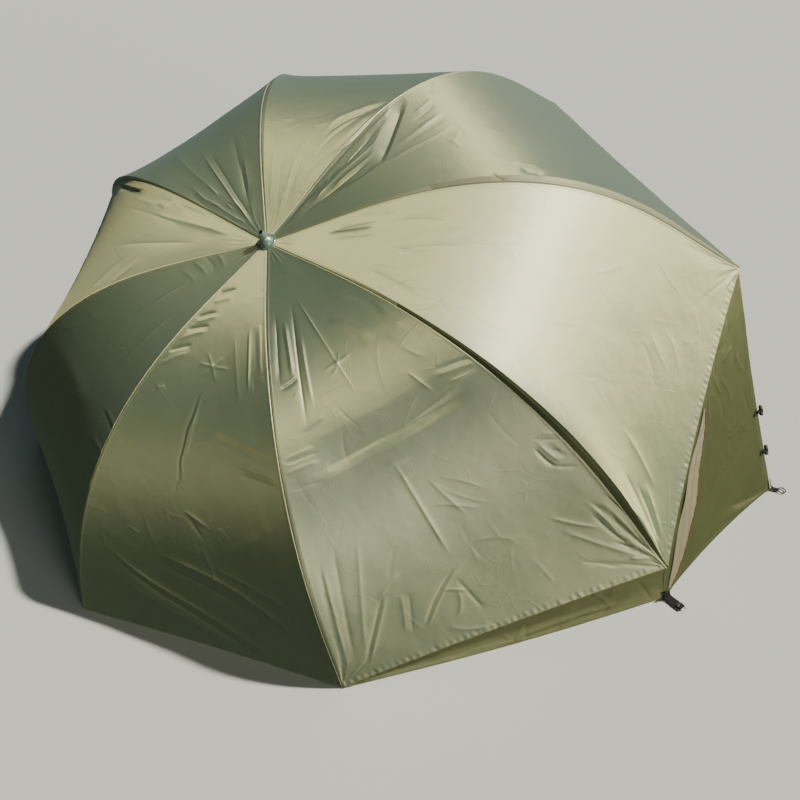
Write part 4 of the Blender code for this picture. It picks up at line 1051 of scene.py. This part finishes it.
def side_grid(t_values, rows, kind, side):
    """A side's skirt or wing, from the rim down to the ground, with its own folds."""
    top = rim_line(t_values, side) + (TUCK if side == "left" else TUCK * MIRROR)
    low = ground_line(t_values, side)
    v = np.linspace(0, 1, rows)
    p = top[None] * (1 - v)[:, None, None] + low[None] * v[:, None, None]
    across = np.concatenate([[0], np.cumsum(np.linalg.norm(np.diff(low, axis=0), axis=1))])
    across = np.repeat(across[None], rows, 0)
    down = np.linalg.norm(p - top[None], axis=-1)
    out = OUT_LEFT if side == "left" else OUT_LEFT * MIRROR
    n = grid_normals(p, np.broadcast_to(out, p.shape))
    left = np.linalg.norm(low - top, axis=1)[None] - down
    ahead = across[:, -1:] - across if kind == "wing" else np.full_like(across, 0.05)
    x, y = to_px(p if side == "left" else p * MIRROR)
    lift = fold_field(x, y, SIDE_FOLDS[kind])
    lift = lift + (0.0012 * value_noise(across * 8, down * 8, 5) + 0.0004 * value_noise(across * 30, down * 24, 6))
    wide = float(across.max())
    lift = lift + creases(across, down, np.random.default_rng(71 if kind == "wing" else 72),
                          60 if kind == "wing" else 26, ((0, wide), (0.02, float(down.max())))) * 2.2
    # a light belly between the rim and the ground
    lift = lift - 0.006 * np.sin(np.pi * v)[:, None] * smoothstep(0, 0.1, left + down)
    lift = lift * smoothstep(0, 0.02, left) * smoothstep(0, 0.02, down)
    # puckers along the stitched edges
    lift = lift + (0.0009 * value_noise(across * 80, down * 6, 9) + 0.0005 * np.sin(2 * np.pi * across / 0.013)
                   ) * np.exp(-((down - 0.008) / 0.008) ** 2)
    lift = lift + 0.0006 * value_noise(across * 6, down * 80, 19) * np.exp(-((ahead - 0.006) / 0.008) ** 2)
    p = p + n * lift[..., None]
    n = grid_normals(p, n)
    uv = {"weave": np.stack([across, down], -1), "hem": np.stack([across, np.minimum(left, down + 0.004)], -1),
          "front": np.stack([down, ahead], -1)}
    return {"p": p, "n": n, "uv": uv, "flip": wants_flip(p, n), "across": across, "down": down, "left": left}


SIDES = {}
GRIDS = {}
for side in ("left", "right"):
    GRIDS[("wing", side)] = side_grid(np.linspace(0.0, 1.0, 170), 150, "wing", side)
    GRIDS[("skirt", side)] = side_grid(np.linspace(-0.985, 0.0, 190), 46, "skirt", side)
    for kind in ("wing", "skirt"):
        o = mesh_of(f"{kind}_{side}", [GRIDS[(kind, side)]])
        o.data.materials.append(SIDE_CLOTH if kind == "wing" else SKIRT_PAINTED_LIGHT)
        SIDES[(kind, side)] = o

# the pleat that is turned out beside the wing's rear seam, from the side rib's tip half way up the rim
g = GRIDS[("wing", "left")]
gx, gy = to_px(g["p"])


def wing_place(x, y):
    """The grid place of the left wing that the camera sees at a pixel."""
    k = np.argmin((gx - x) ** 2 + (gy - y) ** 2)
    return np.array(divmod(int(k), gx.shape[1]), float)


PLEAT_LEFT = [(703.5, 406), (697, 438), (689, 472), (681, 510), (674, 548), (667, 588)]
PLEAT_RIGHT = [(705, 408), (701, 440), (696, 474), (691, 512), (682, 550), (668, 590)]


def grid_sample(a, at):
    """Values of a grid at fractional places."""
    r = np.clip(at[..., 0], 0, a.shape[0] - 1.001)
    c = np.clip(at[..., 1], 0, a.shape[1] - 1.001)
    i, j = r.astype(int), c.astype(int)
    fr, fc = (r - i)[..., None], (c - j)[..., None]
    return ((a[i, j] * (1 - fr) + a[i + 1, j] * fr) * (1 - fc) + (a[i, j + 1] * (1 - fr) + a[i + 1, j + 1] * fr) * fc)


def along_line(points, count):
    at = np.array([wing_place(*q) for q in points])
    k = np.linspace(0, 1, len(at))
    f = np.linspace(0, 1, count)
    return np.stack([smooth(np.interp(f, k, at[:, 0]), 15), smooth(np.interp(f, k, at[:, 1]), 15)], -1)


edge_a, edge_b = along_line(PLEAT_LEFT, 150), along_line(PLEAT_RIGHT, 150)
PLEAT_EDGES = {}
share = np.linspace(0, 1, 16)
at = edge_a[:, None] * (1 - share)[None, :, None] + edge_b[:, None] * share[None, :, None]
for side in ("left", "right"):
    g = GRIDS[("wing", side)]
    base, n0 = grid_sample(g["p"], at), unit(grid_sample(g["n"], at))
    far = np.linspace(0, 1, 150)[:, None]
    wide = np.linalg.norm(base[:, -1] - base[:, 0], axis=-1)[:, None]
    rise = 0.0022 + 0.0075 * np.sin(np.pi * far) ** 0.8 * share[None] ** 0.8
    rise = rise + 0.0012 * value_noise(far * 26, share[None] * 1.5 + 0 * far, 31) * np.sin(np.pi * share)[None]
    rise = rise + 0.0008 * value_noise(far * 70, share[None] * 3 + 0 * far, 32) * share[None]
    rise = rise + 0.0020 * np.sin(np.pi * (share[None] * 4 + 1.4 * np.sin(far * 5))) * np.sin(np.pi * far)
    top = base + n0 * rise[..., None]
    # the turned edge runs back down to the wing
    lip = np.stack([top[:, -1] + (base[:, -1] - base[:, -2]) * 0.25 - n0[:, -1] * 0.0012,
                    base[:, -1] + n0[:, -1] * 0.0014], 1)
    p = np.concatenate([top, lip], 1)
    n = grid_normals(p, np.concatenate([n0, n0[:, -1:], n0[:, -1:]], 1))
    n[:, -2:] = unit(n[:, -3:-2] * 0.2 + unit(base[:, -1:] - base[:, -2:-1]))
    length = np.concatenate([[0], np.cumsum(np.linalg.norm(np.diff(base[:, 8], axis=0), axis=1))])[:, None]
    cols = p.shape[1]
    away = np.concatenate([wide * (1 - share)[None], np.zeros((150, 2))], 1)
    uv = {"weave": np.stack([np.repeat(length, cols, 1), away], -1), "hem": np.stack([np.repeat(length, cols, 1), away], -1)}
    o = mesh_of(f"wing_pleat_{side}", [{"p": p, "n": n, "uv": uv, "flip": wants_flip(p, n)}])
    o.data.materials.append(PLEAT_CLOTH)
    SIDES[("pleat", side)] = o
    PLEAT_EDGES[side] = (top[::5, -1] + n0[::5, -1] * 0.0006, (base[:, -1] - base[:, 0]).sum(0))


def strap(name, path, wide_dir, width, thick, material, close=False):
    """A flat strap swept along a path, with rounded edges."""
    path = np.array(path, float)
    for _ in range(2):
        if close:
            nxt = np.roll(path, -1, 0)
            path = np.stack([path * 0.75 + nxt * 0.25, path * 0.25 + nxt * 0.75], 1).reshape(-1, 3)
        else:
            path = np.concatenate([path[:1], np.stack([path[:-1] * 0.75 + path[1:] * 0.25,
                                                       path[:-1] * 0.25 + path[1:] * 0.75], 1).reshape(-1, 3), path[-1:]])
    run = unit(np.gradient(path, axis=0)) if not close else unit(np.roll(path, -1, 0) - np.roll(path, 1, 0))
    w = unit(np.array(wide_dir, float))
    up = unit(np.cross(run, w))
    section = []
    for k in range(24):
        a = 2 * math.pi * k / 24
        ca, sa = math.cos(a), math.sin(a)
        section.append((math.copysign(abs(ca) ** 0.35, ca) * width / 2, math.copysign(abs(sa) ** 0.7, sa) * thick / 2))
    ring = np.array([path + w * a + up * b for a, b in section]).transpose(1, 0, 2)
    rows = len(path)
    verts = ring.reshape(-1, 3)
    faces = []
    for r in range(rows if close else rows - 1):
        r2 = (r + 1) % rows
        for k in range(24):
            k2 = (k + 1) % 24
            faces.append((r * 24 + k, r * 24 + k2, r2 * 24 + k2, r2 * 24 + k))
    if not close:
        faces.append(tuple(range(24))[::-1])
        faces.append(tuple((rows - 1) * 24 + k for k in range(24)))
    me = bpy.data.meshes.new(name)
    me.from_pydata(verts.tolist(), [], faces)
    length = np.concatenate([[0], np.cumsum(np.linalg.norm(np.diff(path, axis=0), axis=1))])
    uvs = np.array([(a, length[r]) for r in range(rows) for a, b in section])
    layer = me.uv_layers.new(name="weave")
    idx = np.zeros(len(me.loops), int)
    me.loops.foreach_get("vertex_index", idx)
    layer.data.foreach_set("uv", uvs[idx].astype(np.float32).ravel())
    me.polygons.foreach_set("use_smooth", np.ones(len(me.polygons), bool))
    bm = bmesh.new()
    bm.from_mesh(me)
    bmesh.ops.recalc_face_normals(bm, faces=bm.faces)
    bm.to_mesh(me)
    bm.free()
    o = bpy.data.objects.new(name, me)
    SCENE.collection.objects.link(o)
    o.data.materials.append(material)
    return o


def eye_plate(name, centre, run, half, hole, thick, material):
    """The strap's end: a square of webbing round a hole, with rounded corners."""
    run = unit(np.array(run, float))
    w = np.array((-run[1], run[0], 0.0))
    up = np.array((0.0, 0.0, 1.0))
    count = 48
    inner, outer = [], []
    for k in range(count):
        a = 2 * math.pi * k / count
        c, s_ = math.cos(a), math.sin(a)
        inner.append((c * hole, s_ * hole))
        grow = half / max(abs(c), abs(s_))
        x, y = c * grow, s_ * grow
        # round the two far corners
        if x > half * 0.8 and abs(y) > half * 0.8:
            x, y = x * 0.95, y * 0.95
        outer.append((x, y))
    rings = [(inner, thick / 2), ([(a * 0.5 + c * 0.5, b * 0.5 + d * 0.5) for (a, b), (c, d) in zip(inner, outer)],
                                  thick / 2), (outer, thick / 2 * 0.8), (outer, -thick / 2 * 0.8),
             ([(a * 0.5 + c * 0.5, b * 0.5 + d * 0.5) for (a, b), (c, d) in zip(inner, outer)], -thick / 2),
             (inner, -thick / 2)]
    verts, uvs = [], []
    for ring, h in rings:
        for x, y in ring:
            verts.append(np.array(centre) + run * x + w * y + up * h)
            uvs.append((y, x))
    faces = []
    for r in range(len(rings)):
        r2 = (r + 1) % len(rings)
        for k in range(count):
            k2 = (k + 1) % count
            faces.append((r * count + k, r * count + k2, r2 * count + k2, r2 * count + k))
    me = bpy.data.meshes.new(name)
    me.from_pydata([tuple(v) for v in verts], [], faces)
    layer = me.uv_layers.new(name="weave")
    idx = np.zeros(len(me.loops), int)
    me.loops.foreach_get("vertex_index", idx)
    layer.data.foreach_set("uv", np.array(uvs)[idx].astype(np.float32).ravel())
    bm = bmesh.new()
    bm.from_mesh(me)
    bmesh.ops.recalc_face_normals(bm, faces=bm.faces)
    bm.to_mesh(me)
    bm.free()
    me.polygons.foreach_set("use_smooth", np.ones(len(me.polygons), bool))
    me.set_sharp_from_angle(angle=math.radians(40))
    o = bpy.data.objects.new(name, me)
    SCENE.collection.objects.link(o)
    o.data.materials.append(material)
    return o


def ring_piece(name, centre, axis, major, minor, material):
    """A rolled metal eyelet."""
    bm = bmesh.new()
    axis = Vector(axis).normalized()
    side_dir = axis.orthogonal().normalized()
    other = axis.cross(side_dir)
    rings = []
    for k in range(28):
        a = 2 * math.pi * k / 28
        d = side_dir * math.cos(a) + other * math.sin(a)
        rings.append([bm.verts.new(Vector(centre) + d * (major + minor * math.cos(b)) + axis * minor * 0.8 * math.sin(b))
                      for b in [2 * math.pi * m / 12 for m in range(12)]])
    for k in range(28):
        for m in range(12):
            bm.faces.new((rings[k][m], rings[(k + 1) % 28][m], rings[(k + 1) % 28][(m + 1) % 12], rings[k][(m + 1) % 12]))
    bmesh.ops.recalc_face_normals(bm, faces=bm.faces)
    me = bpy.data.meshes.new(name)
    bm.to_mesh(me)
    bm.free()
    me.polygons.foreach_set("use_smooth", np.ones(len(me.polygons), bool))
    o = bpy.data.objects.new(name, me)
    SCENE.collection.objects.link(o)
    o.data.materials.append(material)
    return o


# ---------------------------------------------------------------- looks of the rigid parts
BLACK = plain("black_plastic_look", (0.018, 0.018, 0.019), 0.45, vary=0.25, worn=(0.05, 0.05, 0.05))
PALE = plain("pale_plastic_look", (0.52, 0.51, 0.44), 0.5, vary=0.12)
GLASS_ROD = plain("fibreglass_look", (0.022, 0.022, 0.021), 0.3, vary=0.3, bump=0.0001)
ZINC = plain("zinc_look", (0.50, 0.51, 0.50), 0.38, metal=0.55, vary=0.12, scale=70, worn=(0.35, 0.34, 0.31))
TUBE = plain("dark_tube_look", (0.045, 0.05, 0.035), 0.38, metal=0.3, vary=0.2, worn=(0.10, 0.10, 0.09))
NUB = plain("nub_look", (0.115, 0.165, 0.140), 0.28, metal=0.40, vary=0.12, scale=90, bump=0.00008)
TOGGLE = plain("toggle_look", (0.014, 0.014, 0.015), 0.5, vary=0.3)

LOOKS = {"canopy_washer": NUB, "clamp_screw": BLACK, "crown": BLACK, "crown_ring": ZINC, "ground_spike": ZINC,
         "lower_pole": ZINC, "nub": NUB, "peg_left": ZINC, "peg_right": ZINC, "pole_collar": BLACK, "runner": BLACK,
         "runner_screw": BLACK, "upper_pole": TUBE, "toggle_lower_left": TOGGLE, "toggle_lower_right": TOGGLE,
         "toggle_upper_left": TOGGLE, "toggle_upper_right": TOGGLE}
for i in range(1, 9):
    LOOKS[f"rib_{i}"] = GLASS_ROD
    LOOKS[f"rib_clip_{i}"] = BLACK
    LOOKS[f"rib_tip_{i}"] = PALE
    LOOKS[f"strut_{i}"] = ZINC
for name, mat in LOOKS.items():
    o = NODES[name]
    o.data.materials.clear()
    o.data.materials.append(mat)

# ---------------------------------------------------------------- tabs and toggle loops
PEG_BACK = np.array((-1.104, 0.062, 0.0))
LOOP_FRONT = np.array((-1.118, -0.496, 0.0))
TRIM = {"left": [], "right": []}
RIM_TIP = rib(6, np.array(rib_length(6)))[0]
FRONT_TOP = rib(7, np.array(rib_length(7)))[0] + np.array((-0.003, 0.0, -0.004))
for side in ("left", "right"):
    flip = np.ones(3) if side == "left" else MIRROR
    for spot, corner, eye, above in (("back", WING_BACK, PEG_BACK, RIM_TIP), ("front", WING_FRONT, LOOP_FRONT, FRONT_TOP)):
        run = unit(np.array((eye[0] - corner[0], eye[1] - corner[1], 0.0)))
        reach = float(np.linalg.norm((eye - corner)[:2]))
        up = unit(above - corner)
        w = np.array((-run[1], run[0], 0.0))
        level = np.array((0.0, 0.0, 0.0050 - corner[2]))
        path = [corner + up * 0.030 + run * 0.0030, corner + up * 0.016 + run * 0.0030, corner + up * 0.006 + run * 0.0045,
                corner + run * 0.0090 + level, corner + run * 0.016 + level, corner + run * (reach - 0.0121) + level]
        path = path[:4] + path[5:] if reach - 0.0121 < 0.018 else path
        centre = np.array((eye[0], eye[1], 0.0050)) * flip
        if spot == "back":
            TRIM[side].append(strap(f"tab_{spot}_{side}", [q * flip for q in path], w * flip, 0.024, 0.0022, WEBBING))
            TRIM[side].append(eye_plate(f"tab_eye_{spot}_{side}", centre, run * flip, 0.012, 0.0042, 0.0022, WEBBING))
            TRIM[side].append(ring_piece(f"eyelet_{spot}_{side}", centre, (0, 0, 1), 0.0052, 0.0013, ZINC))
            continue
        path = path[:-1] + [corner + run * (reach - 0.0155) + level]
        TRIM[side].append(strap(f"tab_{spot}_{side}", [q * flip for q in path], w * flip, 0.015, 0.0020, WEBBING))
        TRIM[side].append(ring_piece(f"cord_loop_{side}", centre - run * flip * 0.0045, (0, 0, 1), 0.0100, 0.0016, WEBBING))
    edge_points, edge_wide = PLEAT_EDGES[side]
    TRIM[side].append(strap(f"pleat_binding_{side}", edge_points, edge_wide, 0.0032, 0.0014, BINDING))
    edge_run = unit(WING_FRONT - FRONT_TOP)
    ahead = np.array((0.0, -1.0, 0.0))
    ahead = unit(ahead - edge_run * (ahead @ edge_run))
    face = np.cross(edge_run, ahead)
    for name, share_at in (("upper", 0.63), ("lower", 0.815)):
        at0 = FRONT_TOP * (1 - share_at) + WING_FRONT * share_at
        path = [at0 - ahead * 0.015 + face * 0.0022, at0 - ahead * 0.008 + face * 0.0024, at0 - ahead * 0.001 + face * 0.0028]
        for k in range(9):
            a = math.radians(128 - 256 * k / 8)
            path.append(at0 + ahead * (0.0066 + 0.0056 * math.cos(a)) + face * 0.0056 * math.sin(a))
        path += [at0 - ahead * 0.001 - face * 0.0028, at0 - ahead * 0.008 - face * 0.0024, at0 - ahead * 0.015 - face * 0.0022]
        TRIM[side].append(strap(f"toggle_loop_{name}_{side}", [q * flip for q in path], edge_run * flip, 0.0075, 0.0011,
                                WEBBING))

# ---------------------------------------------------------------- who moves with what
def area_of(o):
    return sum(p.area for p in o.data.polygons)


for i, o in GORES.items():
    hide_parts(f"canopy_gore_{i}")
    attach(o, f"rib_{i}")
    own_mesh(o)
    a, b = PANELS[i], PANELS[(i - 2) % 8 + 1]
    wide = (a["width"].max() + b["width"].max()) / 2 + 0.02
    long = rib_length(i) + 0.04
    cut = float(((a["width"] + b["width"]) / 2).mean() * long + 0.02 * wide)

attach(CENTRE, "head")

for side in ("left", "right"):
    for kind in ("wing", "skirt", "pleat"):
        o = SIDES[(kind, side)]
        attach(o, f"side_{side}")
    for o in TRIM[side]:
        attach(o, f"side_{side}")
    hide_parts(f"side_panel_{side}")
    near = 6 if side == "left" else 2
    for kind, wide, long, held_by in (("wing", 0.56, 0.66, (near, near + 1 if side == "left" else 1)),
                                      ("skirt", 0.79, 0.12, (near - 1 if side == "left" else 3, near))):
        o = SIDES[(kind, side)]
        cut = area_of(o) * 1.01
        wide = float(GRIDS[(kind, side)]["across"].max()) + 0.01
        long = float(GRIDS[(kind, side)]["down"].max()) + 0.01

# ---------------------------------------------------------------- floor and light
mesh = bpy.data.meshes.new("floor")
mesh.from_pydata([(-38, -38, 0), (38, -38, 0), (38, 38, 0), (-38, 38, 0)], [], [(0, 1, 2, 3)])
floor = bpy.data.objects.new("floor", mesh)
SCENE.collection.objects.link(floor)
fmat, fnt, fnodes, flinks, fb = nodes_of("floor_look")
fb.inputs["Base Color"].default_value = (0.36, 0.36, 0.35, 1)
fb.inputs["Roughness"].default_value = 0.9
fb.inputs["Specular IOR Level"].default_value = 0.1
mesh.materials.append(fmat)

bm = bmesh.new()
bmesh.ops.create_uvsphere(bm, u_segments=48, v_segments=24, radius=36)
mesh = bpy.data.meshes.new("backdrop")
bm.to_mesh(mesh)
bm.free()
backdrop = bpy.data.objects.new("backdrop", mesh)
SCENE.collection.objects.link(backdrop)
bmat, bnt, bnodes, blinks, bb = nodes_of("backdrop_look")
bb.inputs["Base Color"].default_value = (0, 0, 0, 1)
bb.inputs["Specular IOR Level"].default_value = 0.0
bb.inputs["Emission Color"].default_value = (1.0, 1.0, 0.98, 1)
bb.inputs["Emission Strength"].default_value = 0.72
mesh.materials.append(bmat)
for o in (floor, backdrop):
    o.visible_diffuse = False
    o.visible_glossy = False
backdrop.visible_shadow = False

world = bpy.data.worlds.new("world")
SCENE.world = world
world.use_nodes = True
wnt = world.node_tree
place = wnt.nodes.new("ShaderNodeTexCoord")
dot = wnt.nodes.new("ShaderNodeVectorMath")
dot.operation = "DOT_PRODUCT"
wnt.links.new(place.outputs["Generated"], dot.inputs[0])
dot.inputs[1].default_value = tuple(Vector((0.62, -0.74, 0.26)).normalized())
sky = ramp(wnt, dot.outputs["Value"], [(0.0, (0.058, 0.078, 0.064)), (0.50, (0.066, 0.090, 0.082)),
                                       (0.94, (0.24, 0.35, 0.42))])
wnt.links.new(sky, wnt.nodes["Background"].inputs[0])
wnt.nodes["Background"].inputs[1].default_value = 1.0


def sun(name, direction, strength, angle, colour):
    data = bpy.data.lights.new(name, "SUN")
    data.energy = strength
    data.angle = math.radians(angle)
    data.color = colour
    o = bpy.data.objects.new(name, data)
    SCENE.collection.objects.link(o)
    o.rotation_euler = Vector(direction).to_track_quat("Z", "Y").to_euler()
    return o


sun("key", (-0.402, -0.425, 0.811), 8.2, 3.0, (1.0, 0.98, 0.86))
sun("fill", (-0.965, 0.180, 0.14), 2.9, 24.0, (1.0, 0.98, 0.84))
# light that comes back up from the ground under the canopy
glow = bpy.data.lights.new("ground_glow", "AREA")
glow.shape = "RECTANGLE"
glow.size, glow.size_y = 1.3, 1.0
glow.energy = 14.0
glow.color = (1.0, 0.99, 0.94)
lamp = bpy.data.objects.new("ground_glow", glow)
SCENE.collection.objects.link(lamp)
lamp.location = (0.0, 0.1, 0.02)
lamp.rotation_euler = (math.pi, 0.0, 0.0)
lamp.visible_camera = False
lamp.visible_glossy = False
